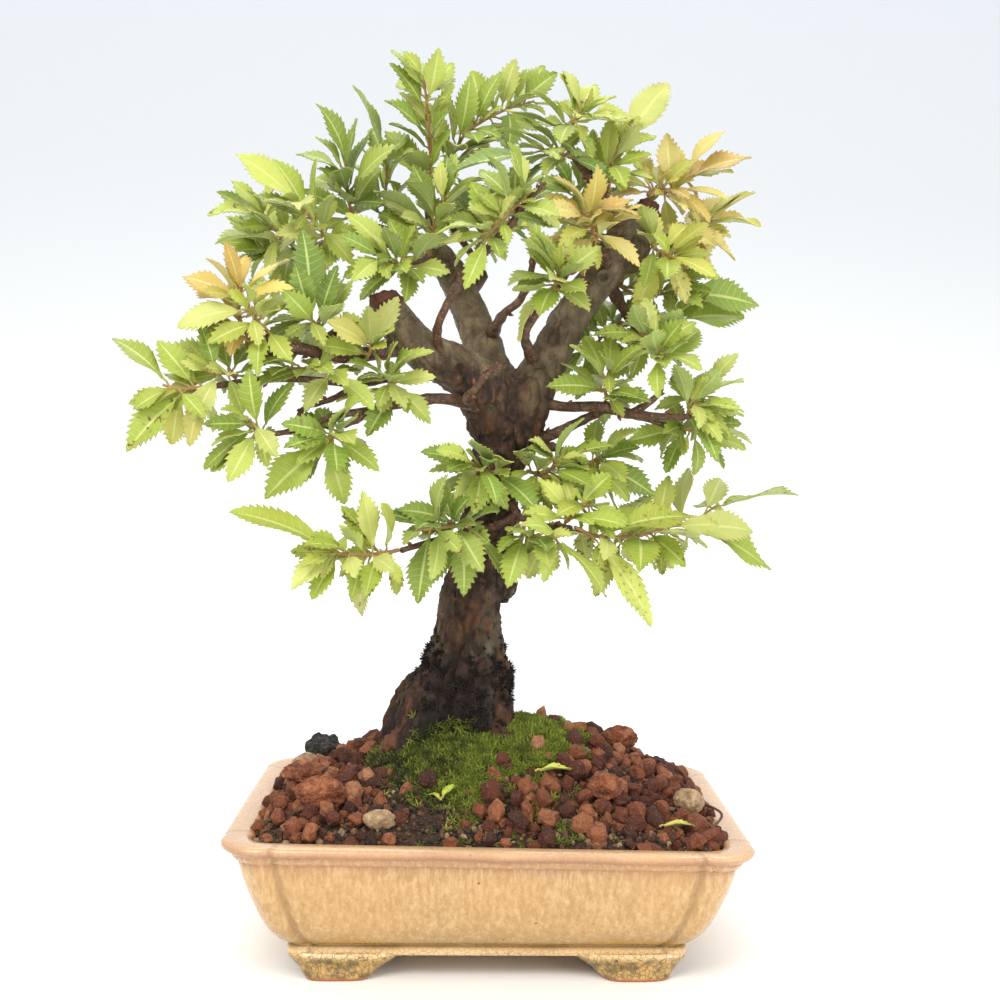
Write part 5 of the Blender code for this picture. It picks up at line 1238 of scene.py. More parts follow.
# Each shoot: the points its stem passes through, then the point that each of its leaves reaches for.
SHOOTS = {
    "apex": ([(-22, 24, 250), (-21, 20, 263), (-22, 16, 276), (-23, 12, 285)], [
        (-37, 26, 271), (-27, 6, 260), (-14, 10, 268), (-31, 18, 269), (-36, 8, 277), (-15, 16, 281),
        (-34, 10, 290), (-18, 10, 295), (-30, 8, 296),
    ]),
    "crown_back": ([(-16, 30, 257), (-10, 30, 270), (2, 34, 279), (14, 38, 284)], [
        (-4, 20, 263), (5, 24, 268), (-24, 36, 284), (-18, 30, 289), (-8, 26, 289), (-4, 34, 290),
        (10, 34, 270), (3, 28, 292), (-1, 46, 288), (19, 40, 275), (24, 36, 267), (8, 30, 297),
        (13, 46, 289), (22, 36, 292), (17, 42, 296),
    ]),
    "stub_top": ([(24, 6, 266), (26, 6, 269), (29, 6, 272)], [
        (4, -2, 272), (15, 2, 277), (32, 8, 261), (42, 2, 271), (27, 10, 277), (34, 3, 277),
    ]),
    "stub_side": ([(26, 4, 258), (22, 2, 259), (17, -2, 259)], [
        (17, -9, 251), (9, -2, 269), (9, -8, 264), (5, 6, 251), (-14, -8, 251),
    ]),
    "right_top": ([(39, 10, 248), (40, 12, 259), (44, 14, 266), (47, 16, 271)], [
        (33, 14, 270), (42, 10, 275), (49, 8, 259), (57, 20, 269), (60, 20, 287), (70, 24, 275),
    ]),
    "right_knob": ([(53, 16, 249), (56, 19, 251), (61, 21, 250), (66, 22, 255)], [
        (40, 14, 241), (40, 12, 252), (51, 26, 262), (57, 20, 262), (51, 12, 251), (63, 11, 244),
        (71, 16, 242), (60, 20, 267), (74, 28, 260), (84, 26, 259),
    ]),
    "right_bronze": ([(66, 24, 236), (70, 26, 238), (75, 28, 241)], [
        (67, 14, 226), (71, 20, 229), (82, 36, 251), (82, 22, 229), (85, 38, 243), (93, 32, 235),
    ]),
    "right_droop": ([(52, 9, 230), (57, 9, 228), (61, 8, 225)], [
        (42, 2, 219), (41, 6, 207), (51, 16, 217), (70, 8, 227),
    ]),
    "inner_bronze": ([(33, -5, 230), (32, -7, 234), (29, -9, 238)], [
        (38, -14, 233), (31, -15, 217), (26, -16, 222), (17, -4, 227), (21, -18, 226), (9, -16, 233),
        (20, -8, 250), (15, -18, 238), (8, -14, 255),
    ]),
    "inner_right": ([(39, 22, 233), (33, 26, 243), (29, 28, 250)], [
        (45, 34, 251), (24, 30, 235), (38, 30, 259), (17, 36, 244), (18, 30, 254),
    ]),
    "right_mid_top": ([(41, 18, 220), (47, 19, 216), (55, 21, 215), (62, 24, 216)], [
        (43, 8, 207), (52, 28, 223), (56, 12, 206), (68, 14, 220), (95, 34, 213),
    ]),
    "right_mid": ([(50, 20, 200), (57, 23, 204), (64, 26, 207)], [
        (37, 10, 209), (44, 14, 191), (55, 16, 189), (52, 34, 214), (66, 20, 197), (73, 22, 216),
        (88, 32, 208),
    ]),
    "right_behind": ([(42, 25, 205), (37, 27, 199), (32, 28, 196)], [
        (43, 36, 208), (39, 32, 190), (35, 17, 202), (24, 26, 214), (24, 24, 188),
    ]),
    "right_front": ([(54, -10, 190), (53, -7, 196), (50, -2, 199)], [
        (69, 2, 202), (68, -6, 194), (66, -14, 187), (56, -10, 212), (42, -6, 189), (47, -16, 197),
        (60, 8, 193), (66, -4, 205), (49, 4, 209), (35, -6, 199),
    ]),
    "branch_top": ([(38, -4, 179), (37, -6, 182), (38, -8, 187)], [
        (48, -14, 178), (24, -2, 190), (21, -10, 183), (47, -12, 195), (28, -12, 193), (32, -4, 198),
    ]),
    "branch_end": ([(64, -8, 175), (66, -6, 178), (69, -4, 180)], [
        (60, -14, 186), (71, -12, 185), (81, -4, 174), (84, 5, 180),
    ]),
    "branch_low": ([(61.5, 4, 169), (65, 6, 169), (69, 8, 168)], [
        (49, 0, 166), (59, -6, 166), (89, 20, 163),
    ]),
    "back_stub": ([(33, 4, 156), (35, 6, 158), (38, 8, 160)], [
        (44, 0, 147), (36, 12, 168), (55, 4, 147), (53, 22, 158), (60, 14, 152),
    ]),
    "trunk_side": ([(16, -5, 153), (19, -8, 155), (21, -10, 158)], [
        (11, -14, 160), (23, -2, 150), (14, 3, 164), (28, 2, 161), (30, -16, 173),
    ]),
    "low_right_near": ([(24, -24, 139), (27, -22, 143), (31, -19, 145)], [
        (14, -30, 142), (39, -26, 139), (18, -22, 150), (39, -10, 152), (41, -16, 147), (31, -28, 155),
    ]),
    "low_right_hang": ([(9, -24, 136), (14, -27, 135), (20, -29, 135)], [
        (7, -30, 126), (14, -33, 125), (29, -18, 130), (36, -34, 117),
    ]),
    "low_right_long": ([(27, -27, 138), (33, -22, 135), (48, -6, 134), (60, 8, 136), (70, 15, 138),
                        (78, 24, 142)], [
        (31, -14, 127), (51, -26, 107), (66, -14, 141), (45, -12, 128), (52, 12, 146), (42, 4, 145),
        (61, 4, 124), (74, 10, 129), (58, 14, 156), (93, 24, 134), (69, 24, 158), (100, 30, 120),
        (82, 34, 152), (110, 42, 148),
    ]),
    "low_left_end": ([(-28.5, -34.5, 131), (-36, -39, 130), (-47, -46, 131)], [
        (-40, -34, 113), (-32, -30, 121), (-45, -40, 145), (-43, -46, 137), (-54, -42, 124),
        (-53, -54, 134), (-73, -56, 143),
    ]),
    "low_left_near": ([(-6, -24.5, 138.5), (-14, -29, 138), (-22, -32, 137)], [
        (6, -31, 121), (-16, -18, 127), (-8, -34, 117), (-19, -30, 122), (-13, -28, 146), (-19, -22, 147),
        (-28, -26, 121), (-22, -38, 115), (-35, -32, 152),
    ]),
    "trunk_front": ([(2, -9, 154), (-1, -16, 155), (-5, -22, 157)], [
        (15, -24, 143), (4, -26, 158), (-12, -26, 145), (-19, -20, 152), (-7, -26, 168), (-22, -26, 161),
    ]),
    "left_inner": ([(-30, -24.5, 178.5), (-31, -26, 181), (-32, -28, 184)], [
        (-37, -30, 164), (-44, -28, 175), (-26, -24, 168), (-22, -30, 190),
    ]),
    "left_hang": ([(-45.5, -35, 167.5), (-47, -37, 166), (-50, -39, 164)], [
        (-41, -32, 162), (-52, -30, 172), (-55, -44, 160), (-68, -46, 147),
    ]),
    "left_low_end": ([(-67.5, -47, 166), (-69, -48, 168), (-71, -49, 170)], [
        (-60, -44, 180), (-78, -52, 164), (-71, -50, 182), (-82, -48, 176), (-88, -54, 168),
    ]),
    "left_mid_low": ([(-47, -30.5, 185), (-54, -36, 186), (-62, -40, 186)], [
        (-39, -36, 177), (-50, -26, 176), (-45, -24, 195), (-55, -36, 176), (-49, -36, 192),
        (-60, -28, 182), (-58, -42, 175), (-66, -46, 178), (-65, -38, 168), (-73, -40, 172),
    ]),
    "left_mid_end": ([(-76, -44, 183.5), (-79, -47, 184), (-82, -49, 184)], [
        (-62, -44, 190), (-73, -38, 191), (-78, -46, 173), (-86, -52, 173), (-91, -46, 189),
    ]),
    "left_tip": ([(-83.5, -48.5, 180), (-90, -52, 179), (-95, -53, 180)], [
        (-92, -54, 168), (-97, -50, 192), (-106, -56, 161), (-110.5, -52, 194),
    ]),
    "fork_yellow": ([(-37, -24, 194.5), (-37, -28, 193), (-38, -31, 190)], [
        (-48, -20, 201), (-29, -32, 208), (-31, -40, 197), (-35, -38, 171), (-55, -34, 192),
    ]),
    "left_upper": ([(-67, -42, 197), (-69, -45, 199), (-72, -47, 203)], [
        (-61, -50, 190), (-68, -52, 184), (-62, -38, 206), (-82, -50, 192), (-89, -52, 189),
        (-72, -36, 193), (-79, -40, 200), (-92, -52, 197),
    ]),
    "left_bronze": ([(-71.5, -43.5, 192.8), (-75, -43, 200), (-75, -44, 206), (-74, -46, 209)], [
        (-85, -42, 197), (-66, -34, 203), (-82, -38, 214), (-98, -52, 202), (-80, -52, 205),
        (-94, -46, 213), (-60, -48, 209), (-75, -36, 217), (-64, -44, 216),
    ]),
    "left_upright": ([(-51.5, -33, 197.5), (-54, -36, 200), (-56, -37, 202)], [
        (-43, -28, 214), (-47, -44, 203), (-47, -30, 212), (-66, -36, 199), (-57, -40, 228),
    ]),
    "centre_left": ([(-26, -7, 220.5), (-31, -13, 221), (-35, -18, 222)], [
        (-18, -18, 229), (-27, -20, 209), (-42, -14, 209), (-33, -26, 230), (-48, -10, 230),
        (-46, -26, 215), (-48, -22, 223),
    ]),
    "upper_left_back": ([(-69, 31, 228), (-73, 26, 229), (-78, 22, 229)], [
        (-70, 18, 220), (-66, 18, 236), (-86, 12, 223), (-85, 24, 238), (-94, 12, 217), (-99, 14, 231),
    ]),
    "upper_left_low": ([(-66, 26, 229), (-70, 12, 232), (-76, 6, 238)], [
        (-59, 22, 221), (-77, 14, 222), (-84, 0, 231), (-66, 4, 244), (-90, -2, 228), (-81, 10, 249),
        (-91, 6, 246), (-93, -6, 239), (-100, 0, 234),
    ]),
    "upper_left_front": ([(-53.5, 2, 230), (-57, -5, 234), (-61, -9, 239)], [
        (-52, -10, 222), (-69, -14, 229), (-51, -14, 241), (-55, -8, 256), (-73, -16, 245), (-66, -6, 258),
        (-81, -14, 255),
    ]),
    "upper_left_top": ([(-46.5, 12, 237.5), (-48, 7, 247), (-48, 2, 254)], [
        (-62, 0, 246), (-37, 8, 255), (-30, -6, 259), (-40, 10, 268), (-45, 2, 269), (-57, -6, 262),
        (-53, -2, 270),
    ]),
    "crown_left": ([(-36.5, 24, 239.5), (-36, 20, 251), (-35, 18, 259)], [
        (-48, 20, 246), (-24, 14, 255), (-51, 24, 260), (-27, 14, 273), (-42, 28, 272), (-46, 14, 284),
    ]),
    "crown_centre": ([(-21, 12, 227), (-20, 9, 233), (-18, 7, 239), (-16, 6, 243)], [
        (-30, -6, 225), (-9, -2, 231), (-39, 4, 233), (-29, -8, 237), (-37, 12, 245), (-46, 4, 240),
        (-7, 2, 250), (-28, -4, 249), (-26, 6, 256), (-12, 8, 260),
    ]),
    "centre_back": ([(-5, 34, 231), (-1, 33, 241), (6, 35, 245), (14, 38, 247)], [
        (-12, 40, 238), (7, 27, 237), (-12, 36, 257), (3, 26, 254), (16, 36, 233), (-4, 44, 255),
        (21, 44, 243), (9, 30, 257), (25, 40, 256),
    ]),
    "slender_twig": ([(-3, -38.5, 225), (3, -42, 231), (10, -44.5, 238)], [
        (-7, -42, 212), (-12, -42, 227), (5, -36, 221), (14, -46, 229), (2, -48, 241), (17, -42, 247),
    ]),
    "fork_twig": ([(19, -16, 212), (20, -20, 214), (21, -24, 217)], [
        (27, -26, 207), (8, -22, 196), (29, -20, 222), (15, -26, 226),
    ]),
}


class Crowd:
    """What is already in the crown, so that nothing new is grown through it."""

    def __init__(self):
        self.grown = []

    @staticmethod
    def reach(points):
        low = [min(point[axis] for point in points) for axis in range(3)]
        high = [max(point[axis] for point in points) for axis in range(3)]
        return low, high

    def clear_of(self, points, faces, skip=None):
        low, high = self.reach(points)
        tree = BVHTree.FromPolygons(points, faces)
        for owner, other, other_low, other_high in self.grown:
            if owner == skip:
                continue
            if any(low[axis] > other_high[axis] or high[axis] < other_low[axis] for axis in range(3)):
                continue
            if tree.overlap(other):
                return False
        return True

    def add(self, owner, points, faces):
        self.grown.append((owner, BVHTree.FromPolygons(points, faces), *self.reach(points)))


def leaf_plan(root, tip, width, rng):
    """Where one leaf lies: points along its midrib, with the side and upper directions of its blade."""
    along = tip - root
    length = along.length
    along = along / length
    facing = Vector((rng.uniform(-0.45, 0.45), rng.uniform(-1.1, -0.1), rng.uniform(0.35, 1.05)))
    upper = (facing - along * facing.dot(along)).normalized()
    side = along.cross(upper)
    arch = rng.uniform(0.03, 0.11) * length
    midrib = []
    for part in LEAF_STATIONS:
        midrib.append(root + along * length * part + upper * arch * math.sin(math.pi * min(part, 0.999)))
    return midrib, side, upper, width


def leaf_rings(plan, grow=0.0):
    """Rings of four points, left, upper, right and lower, at two stations of the blade, and its tip."""
    midrib, side, upper, width = plan
    rings = []
    for centre, share in ((midrib[1], 1.0), (midrib[2], 0.8)):
        half = width * share / 2 + grow
        fold = upper * half * LEAF_FOLD
        thick = upper * (LEAF_THICKNESS / 2 + grow)
        rings.append([centre - side * half + fold, centre + thick,
                      centre + side * half + fold, centre - thick])
    return rings, midrib[3] + (midrib[3] - midrib[2]).normalized() * grow


def blade_solid(plan, grow, start):
    """The leaf from a start point on, as a closed body larger all round by the gap to be kept."""
    rings, tip = leaf_rings(plan, grow)
    _, side, upper, _ = plan
    thin = 0.4 + grow / 2
    points = [start - side * thin, start + upper * thin, start + side * thin, start - upper * thin]
    points += rings[0] + rings[1] + [tip]
    faces = [(3, 2, 1, 0)]
    for low in (0, 4):
        for i in range(4):
            j = (i + 1) % 4
            faces.append((low + i, low + j, low + 4 + j, low + 4 + i))
    faces += [(8 + i, 8 + (i + 1) % 4, 12) for i in range(4)]
    return points, faces


def stem_path(route, wood_tree, drift):
    """The stem's own path: it starts just clear of the wood and keeps clear of it."""
    clear = STEM_RADIUS + GAP + 0.15
    path = []
    for i, point in enumerate(smooth_route(route, 3)):
        point = point + drift * min(1, i / 3)
        spot, normal, _, distance = wood_tree.find_nearest(point)
        inside = (point - spot).dot(normal) < 0
        if i == 0 or inside or distance < clear:
            point = spot + normal * clear
        path.append(point)
    return path


def point_at(path, distance):
    """The point that far along a path, which is carried on straight beyond its end."""
    for a, b in zip(path, path[1:]):
        step = (b - a).length
        if distance <= step:
            return a.lerp(b, distance / step)
        distance -= step
    return path[-1] + (path[-1] - path[-2]).normalized() * distance


def grow_stem(path, leaf_count):
    """The stem as a three-sided body that has one short length, a node, for each leaf."""
    total = sum((b - a).length for a, b in zip(path, path[1:]))
    room = (total - 0.6) / leaf_count
    half_node = min(NODE_LENGTH / 2, room * 0.4)
    stations = [0.0]
    for i in range(leaf_count):
        middle = 0.6 + room * (i + 0.5)
        stations += [middle - half_node, middle + half_node]
    stations.append(total + 0.8)
    centres = [point_at(path, station) for station in stations]
    rings = []
    for k, (centre, (side, across)) in enumerate(zip(centres, frames(centres))):
        radius = STEM_RADIUS * (1 - 0.35 * k / len(centres))
        rings.append([centre + (side * math.cos(math.tau * i / 3)
                                + across * math.sin(math.tau * i / 3)) * radius
                      for i in range(3)])
    points, faces = loft(rings)
    return points, faces, centres


def with_fillers(route, tips, rng):
    """The named leaves, with a smaller one after every third that fills out the shoot."""
    done = []
    for i, tip in enumerate(tips):
        done.append(tip)
        if i % 3 == 2:
            centre = point_at([Vector(point) for point in route], 8.0)
            heading = Vector((centre.x, centre.y, centre.z - CROWN_HEART_Z)).normalized()
            turn = Vector([rng.uniform(-1, 1) for _ in range(3)])
            filler = centre + (heading * 0.6 + turn).normalized() * rng.uniform(15, 21)
            filler.y = max(-FILLER_Y, min(FILLER_Y, filler.y))
            done.append(filler)
    return done


class Shoot:
    """One stem with its leaves. Each leaf grows out of a side of the stem, and the whole is one closed body."""

    def __init__(self, name, route, tips, wood_tree, crowd, rng):
        self.name = name
        self.tips = tips
        for attempt in range(40):
            drift = Vector([rng.uniform(-0.1, 0.1) * attempt for _ in range(3)])
            path = stem_path(route, wood_tree, drift)
            self.points, self.faces, self.centres = grow_stem(path, len(tips))
            if crowd.clear_of(self.points, self.faces):
                break
        crowd.add(name, list(self.points), list(self.faces))
        self.stem = BVHTree.FromPolygons(self.points, self.faces)

    def open_side(self, number, centre, goal):
        """The side of the node that looks most towards the goal."""
        low = 3 * (1 + 2 * number)
        sides = [(low + i, low + (i + 1) % 3, low + 3 + (i + 1) % 3, low + 3 + i) for i in range(3)]
        middles = [sum((self.points[k] for k in quad), Vector()) / 4 for quad in sides]
        looks = [(middle - centre).normalized().dot((goal - centre).normalized()) for middle in middles]
        best = looks.index(max(looks))
        return sides[best], middles[best]

    def add_leaf(self, number, tip, crowd, rng):
        centre = (self.centres[1 + 2 * number] + self.centres[2 + 2 * number]) / 2
        for attempt in range(60):
            spread = 0.25 * attempt
            goal = Vector(tip) + Vector([rng.uniform(-spread, spread) for _ in range(3)])
            if attempt > 30:
                goal = centre.lerp(goal, 0.8)
            reach = (goal - centre).length
            if attempt <= 30 and reach < USUAL_LEAF:
                reach = min(USUAL_LEAF, reach * 1.4)
            goal = centre + (goal - centre).normalized() * max(SHORTEST_LEAF, reach)
            quad, root = self.open_side(number, centre, goal)
            width = min(WIDEST_LEAF, (goal - root).length * rng.uniform(*LEAF_SLIMNESS))
            plan = leaf_plan(root, goal, width, rng)
            outer = BVHTree.FromPolygons(*blade_solid(plan, 0.0, plan[0][0]))
            if outer.overlap(self.stem) or not crowd.clear_of(*blade_solid(plan, GAP, root), skip=self.name):
                continue
            if self.join_leaf(quad, plan):
                crowd.add((self.name, number), *blade_solid(plan, 0.0, root))
                return plan
        return None

    def join_leaf(self, quad, plan):
        """Runs the leaf's rings on from a side of the stem, turned to twist least, if nothing crosses."""
        rings, end = leaf_rings(plan)
        first = len(self.points)
        points = self.points + rings[0] + rings[1] + [end]
        turns = [quad[turn:] + quad[:turn] for turn in range(4)]
        start = min(turns, key=lambda turn: sum((points[k] - p).length for k, p in zip(turn, rings[0])))
        levels = [start, [first + i for i in range(4)], [first + 4 + i for i in range(4)]]
        added = [(levels[2][i], levels[2][(i + 1) % 4], first + 8) for i in range(4)]
        for low, high in zip(levels, levels[1:]):
            for i in range(4):
                j = (i + 1) % 4
                added.append((low[i], low[j], high[j], high[i]))
        faces = [face for face in self.faces if face != quad] + added
        new, whole = BVHTree.FromPolygons(points, added), BVHTree.FromPolygons(points, faces)
        if any(not set(added[a]) & set(faces[b]) for a, b in new.overlap(whole)):
            return False
        self.points, self.faces = points, faces
        return True


LEAF_GREENS = {
    "fresh": [paint(158, 172, 66), paint(174, 184, 84), paint(142, 160, 58), paint(186, 190, 102),
              paint(128, 150, 56)],
    "deep": [paint(132, 152, 58), paint(146, 164, 66), paint(114, 138, 52), paint(160, 172, 80)],
    "bright": [paint(174, 182, 74), paint(186, 192, 92), paint(158, 172, 62), paint(194, 196, 110)],
    "yellow": [paint(188, 186, 84), paint(172, 178, 72), paint(200, 190, 104), paint(158, 170, 66)],
    "bronze": [paint(206, 184, 96), paint(200, 170, 88), paint(184, 180, 84), paint(214, 194, 118),
               paint(192, 156, 82)],
}
SHOOT_COLOUR = {
    "right_knob": "bronze", "right_bronze": "bronze", "inner_bronze": "bronze", "left_bronze": "bronze",
    "fork_yellow": "yellow", "right_droop": "yellow", "left_tip": "yellow", "right_top": "bright",
    "stub_top": "bright", "left_upright": "deep", "stub_side": "deep", "upper_left_top": "deep",
    "low_left_near": "deep", "crown_left": "deep", "low_right_long": "bright", "low_right_near": "bright",
    "low_left_end": "bright", "trunk_front": "fresh", "left_upper": "bright", "upper_left_front": "bright",
    "right_behind": "deep", "centre_back": "deep",
}
SPOTTED_SHOOTS = ("low_right_long", "low_left_near", "left_upright")
# How wide a blade is at shares of its length, as a share of its greatest width.
BLADE_SHAPE = ((0, 0.05, 0.12, 0.22, 0.34, 0.46, 0.55, 0.66, 0.76, 0.85, 0.93, 1.0),
               (0.05, 0.12, 0.28, 0.56, 0.86, 1.0, 0.98, 0.82, 0.58, 0.35, 0.16, 0.0))
BLADE_SLIMNESS = 0.84
ACROSS = (-1.0, -0.68, -0.34, 0.0, 0.34, 0.68, 1.0)
BLADE_THICKNESS = 0.24


def along_midrib(midrib, share):
    """The point at a share of the blade's length on a smooth curve through the plan's midrib."""
    place = share * (len(midrib) - 1)
    low = min(int(place), len(midrib) - 2)
    t = place - low
    before, here, there = midrib[max(low - 1, 0)], midrib[low], midrib[low + 1]
    after = midrib[min(low + 2, len(midrib) - 1)]
    return 0.5 * ((2 * here) + (there - before) * t + (2 * before - 5 * here + 4 * there - after) * t * t
                  + (3 * here - before - 3 * there + after) * t ** 3)


class Foliage:
    """The points, faces and surface values of one shoot while its leaves are made."""

    def __init__(self):
        self.points, self.faces, self.maps = [], [], []
        self.values = {"row": [], "across": [], "under": [], "blight": []}
        self.tints = []

    def add_point(self, point, row, across, under, blight, tint, spot):
        self.points.append(point)
        for name, value in zip(("row", "across", "under", "blight"), (row, across, under, blight)):
            self.values[name].append(value)
        self.tints.append(tint)
        self.maps.append(spot)
        return len(self.points) - 1

    def made(self, name):
        """The mesh object, with its surface values and its colour sheet."""
        mesh = bpy.data.meshes.new(name)
        mesh.from_pydata([point * MM for point in self.points], [], self.faces)
        for label, values in self.values.items():
            mesh.attributes.new(label, "FLOAT", "POINT").data.foreach_set("value", values)
        tints = mesh.attributes.new("tint", "FLOAT_COLOR", "POINT")
        tints.data.foreach_set("color", [value for colour in self.tints for value in colour])
        sheet = mesh.uv_layers.new(name="OFBake")
        for loop in mesh.loops:
            sheet.data[loop.index].uv = self.maps[loop.vertex_index]
        mesh.shade_smooth()
        mesh.set_sharp_from_angle(angle=math.radians(62))
        obj = bpy.data.objects.new(name, mesh)
        bpy.context.collection.objects.link(obj)
        return obj


def add_blade(foliage, plan, start, tint, cell, cell_size, rng, blight):
    """One leaf: stalk, blade and teeth. cell is the corner of its place on the shoot's colour sheet."""
    midrib, side, upper, width = plan
    width *= BLADE_SLIMNESS
    length = (midrib[3] - midrib[0]).length
    veins = max(6, min(12, round(length / 1.9)))
    rows = 2 * veins
    wave_start, wave_size = rng.uniform(0, math.tau), rng.uniform(0.03, 0.09) * width
    droop, twist = rng.uniform(-0.02, 0.12) * length, rng.uniform(-0.35, 0.35)
    fold = rng.uniform(0.1, 0.3)
    lean = rng.uniform(-0.05, 0.05) * width
    tooth = 0.062 * width + 0.24
    sheets = []
    for under in (0, 1):
        grid = []
        for k in range(rows):
            here = k / rows
            line = []
            for column in ACROSS:
                share = abs(column)
                forward = 0.16 * math.sin(math.pi * min(1, here * 1.1)) * share ** 1.2
                s = here + forward * (1 - here)
                half = width / 2 * float(np.interp(s, *BLADE_SHAPE))
                toothed = spread(s, 0.16, 0.34) * (1 - spread(s, 0.7, 0.99))
                reach = half * share
                lead = 0.0
                if share == 1.0:
                    reach += tooth * toothed * (0.75 if k % 2 == 0 else -0.55)
                    lead = (0.9 if k % 2 == 0 else -0.5) * tooth * toothed / length
                centre = along_midrib(midrib, min(1, s + lead))
                turn = twist * (s - 0.4)
                out = side * math.cos(turn) + upper * math.sin(turn)
                up = upper * math.cos(turn) - side * math.sin(turn)
                quilt = (0.2 if k % 2 else -0.12) * math.sin(math.pi * min(1, share * 0.9))
                quilt *= min(1, width / 9)
                rise = reach * fold + quilt + 0.18 * share - droop * max(0, s - 0.35) ** 2
                rise += wave_size * share ** 2 * math.sin(wave_start + 9.5 * s + (2.1 if column > 0 else 0))
                if under:
                    rise -= BLADE_THICKNESS + (0.34 * (1 - 0.6 * s) if column == 0 else 0)
                aside = math.copysign(reach, column) if column else 0
                point = centre + out * aside + up * rise + out * lean * s * (1 - s)
                spot = (cell[0] + cell_size * (0.5 + 0.46 * column * half * 2 / width),
                        cell[1] + cell_size * (0.03 + 0.94 * s))
                line.append(foliage.add_point(point, k / 2, share, under, blight, tint,
                                              (spot[0] * 0.5 + 0.5 * under, spot[1])))
            grid.append(line)
        end = midrib[3] + upper * (-droop * 0.42 - (BLADE_THICKNESS * 0.5 if under else 0))
        tip = foliage.add_point(end, rows / 2, 0.0, under, blight, tint,
                                ((cell[0] + cell_size * 0.5) * 0.5 + 0.5 * under, cell[1] + cell_size * 0.98))
        for low, high in zip(grid, grid[1:]):
            for j in range(len(ACROSS) - 1):
                quad = (low[j], low[j + 1], high[j + 1], high[j])
                foliage.faces.append(quad if not under else quad[::-1])
        for j in range(len(ACROSS) - 1):
            fan = (grid[-1][j], grid[-1][j + 1], tip)
            foliage.faces.append(fan if not under else fan[::-1])
        sheets.append(([line[0] for line in grid] + [tip] + [line[-1] for line in reversed(grid)]
                       + grid[0][1:-1][::-1]))
    top, bottom = sheets
    for i in range(len(top)):
        j = (i + 1) % len(top)
        foliage.faces.append((top[i], top[j], bottom[j], bottom[i]))
    add_tube(foliage, [start, start.lerp(midrib[0], 0.55) + upper * 0.35, midrib[0],
                       along_midrib(midrib, 0.06)],
             (0.42, 0.34, 0.3, 0.16), 6, tint, cell, cell_size * 0.03)


def add_tube(foliage, centres, radii, sides, tint, corner, size):
    """A round stalk or stem, closed at both ends."""
    first = len(foliage.points)
    for k, (centre, radius, (side, across)) in enumerate(zip(centres, radii, frames(centres))):
        for i in range(sides):
            angle = math.tau * i / sides
            point = centre + (side * math.cos(angle) + across * math.sin(angle)) * radius
            spot = (corner[0] * 0.5 + size * i / sides, corner[1] + size * k / len(centres))
            foliage.add_point(point, 0.0, -1.0, 0, 0.0, tint, spot)
    for k in range(len(centres) - 1):
        for i in range(sides):
            j = (i + 1) % sides
            low = first + k * sides
            foliage.faces.append((low + i, low + j, low + sides + j, low + sides + i))
    foliage.faces.append(tuple(first + i for i in range(sides))[::-1])
    last = first + (len(centres) - 1) * sides
    foliage.faces.append(tuple(last + i for i in range(sides)))


def grow_shoot(name, shoot, leaves, rng):
    """Makes one shoot with all of its leaves into a mesh object, with its colour sheet."""
    foliage = Foliage()
    palette = LEAF_GREENS[SHOOT_COLOUR.get(name, "fresh")]
    cells = math.ceil(math.sqrt(len(leaves) + 1))
    size = 1 / cells
    path = smooth_route([Vector(centre) for centre in shoot.centres], 3)
    radii = [STEM_RADIUS * (1.0 - 0.45 * k / len(path)) + 0.1 * (k % 6 == 3) for k in range(len(path))]
    stem_tint = Vector((0.36, 0.17, 0.08)).lerp(Vector((0.4, 0.42, 0.12)), rng.random() * 0.6)
    add_tube(foliage, path, radii, 9, (*stem_tint, 1.0), ((cells - 1) * size, (cells - 1) * size), size)
    for number, (plan, start) in enumerate(leaves):
        cell = (number % cells * size, number // cells * size)
        young = plan[3] < 6
        tint = Vector(rng.choice(palette)[:3])
        tint = tint.lerp(Vector(LEAF_GREENS["yellow"][0][:3]), 0.35 if young else 0.0)
        tint = tint * rng.uniform(0.86, 1.1)
        spotted = rng.random() < (0.4 if name in SPOTTED_SHOOTS else 0.08)
        blight = rng.uniform(0.5, 1.0) if spotted else 0.0
        add_blade(foliage, plan, start, (*tint, 1.0), cell, size, rng, blight)
    return foliage.made("leafy_" + name)


crowd = Crowd()
crowd.add("wood", wood_points, wood_faces)
wood_tree = BVHTree.FromPolygons(wood_points, wood_faces)
rng = random.Random(5)
shoots = []
for name, (route, tips) in SHOOTS.items():
    shoots.append(Shoot(name, route, with_fillers(route, tips, rng), wood_tree, crowd, rng))
leaves_of = {}
for shoot in shoots:
    leaves_of[shoot.name] = []
    for number, tip in enumerate(shoot.tips):
        plan = shoot.add_leaf(number, tip, crowd, rng)
        if plan is not None:
            start = (shoot.centres[1 + 2 * number] + shoot.centres[2 + 2 * number]) / 2
            leaves_of[shoot.name].append((plan, start))
print("leaves of the packed crown:", sum(len(leaves) for leaves in leaves_of.values()))

# Small young leaves fill the room that is left round each shoot.
rng = random.Random(77)
for shoot in shoots:
    stem_length = sum((b - a).length for a, b in zip(shoot.centres, shoot.centres[1:]))
    for _ in range(YOUNG_LEAF_TRIES):
        start = point_at(shoot.centres, rng.uniform(0.1, 0.98) * stem_length)
        heading = Vector((start.x * 0.7, start.y * 0.7, start.z - CROWN_HEART_Z)).normalized()
        aim = (heading * 0.5 + Vector([rng.uniform(-1, 1) for _ in range(3)])).normalized()
        goal = start + aim * rng.uniform(9.5, 21)
        if abs(goal.x) > FARTHEST_TIP[0] or abs(goal.y) > FARTHEST_TIP[1] or goal.z > FARTHEST_TIP[2]:
            continue
        plan = leaf_plan(start + aim * 0.6, goal, (goal - start).length * rng.uniform(0.4, 0.52), rng)
        solid = blade_solid(plan, 0.15, plan[0][0])
        if crowd.clear_of(*solid):
            crowd.add((shoot.name, "young"), *blade_solid(plan, 0.0, plan[0][0]))
            leaves_of[shoot.name].append((plan, start))
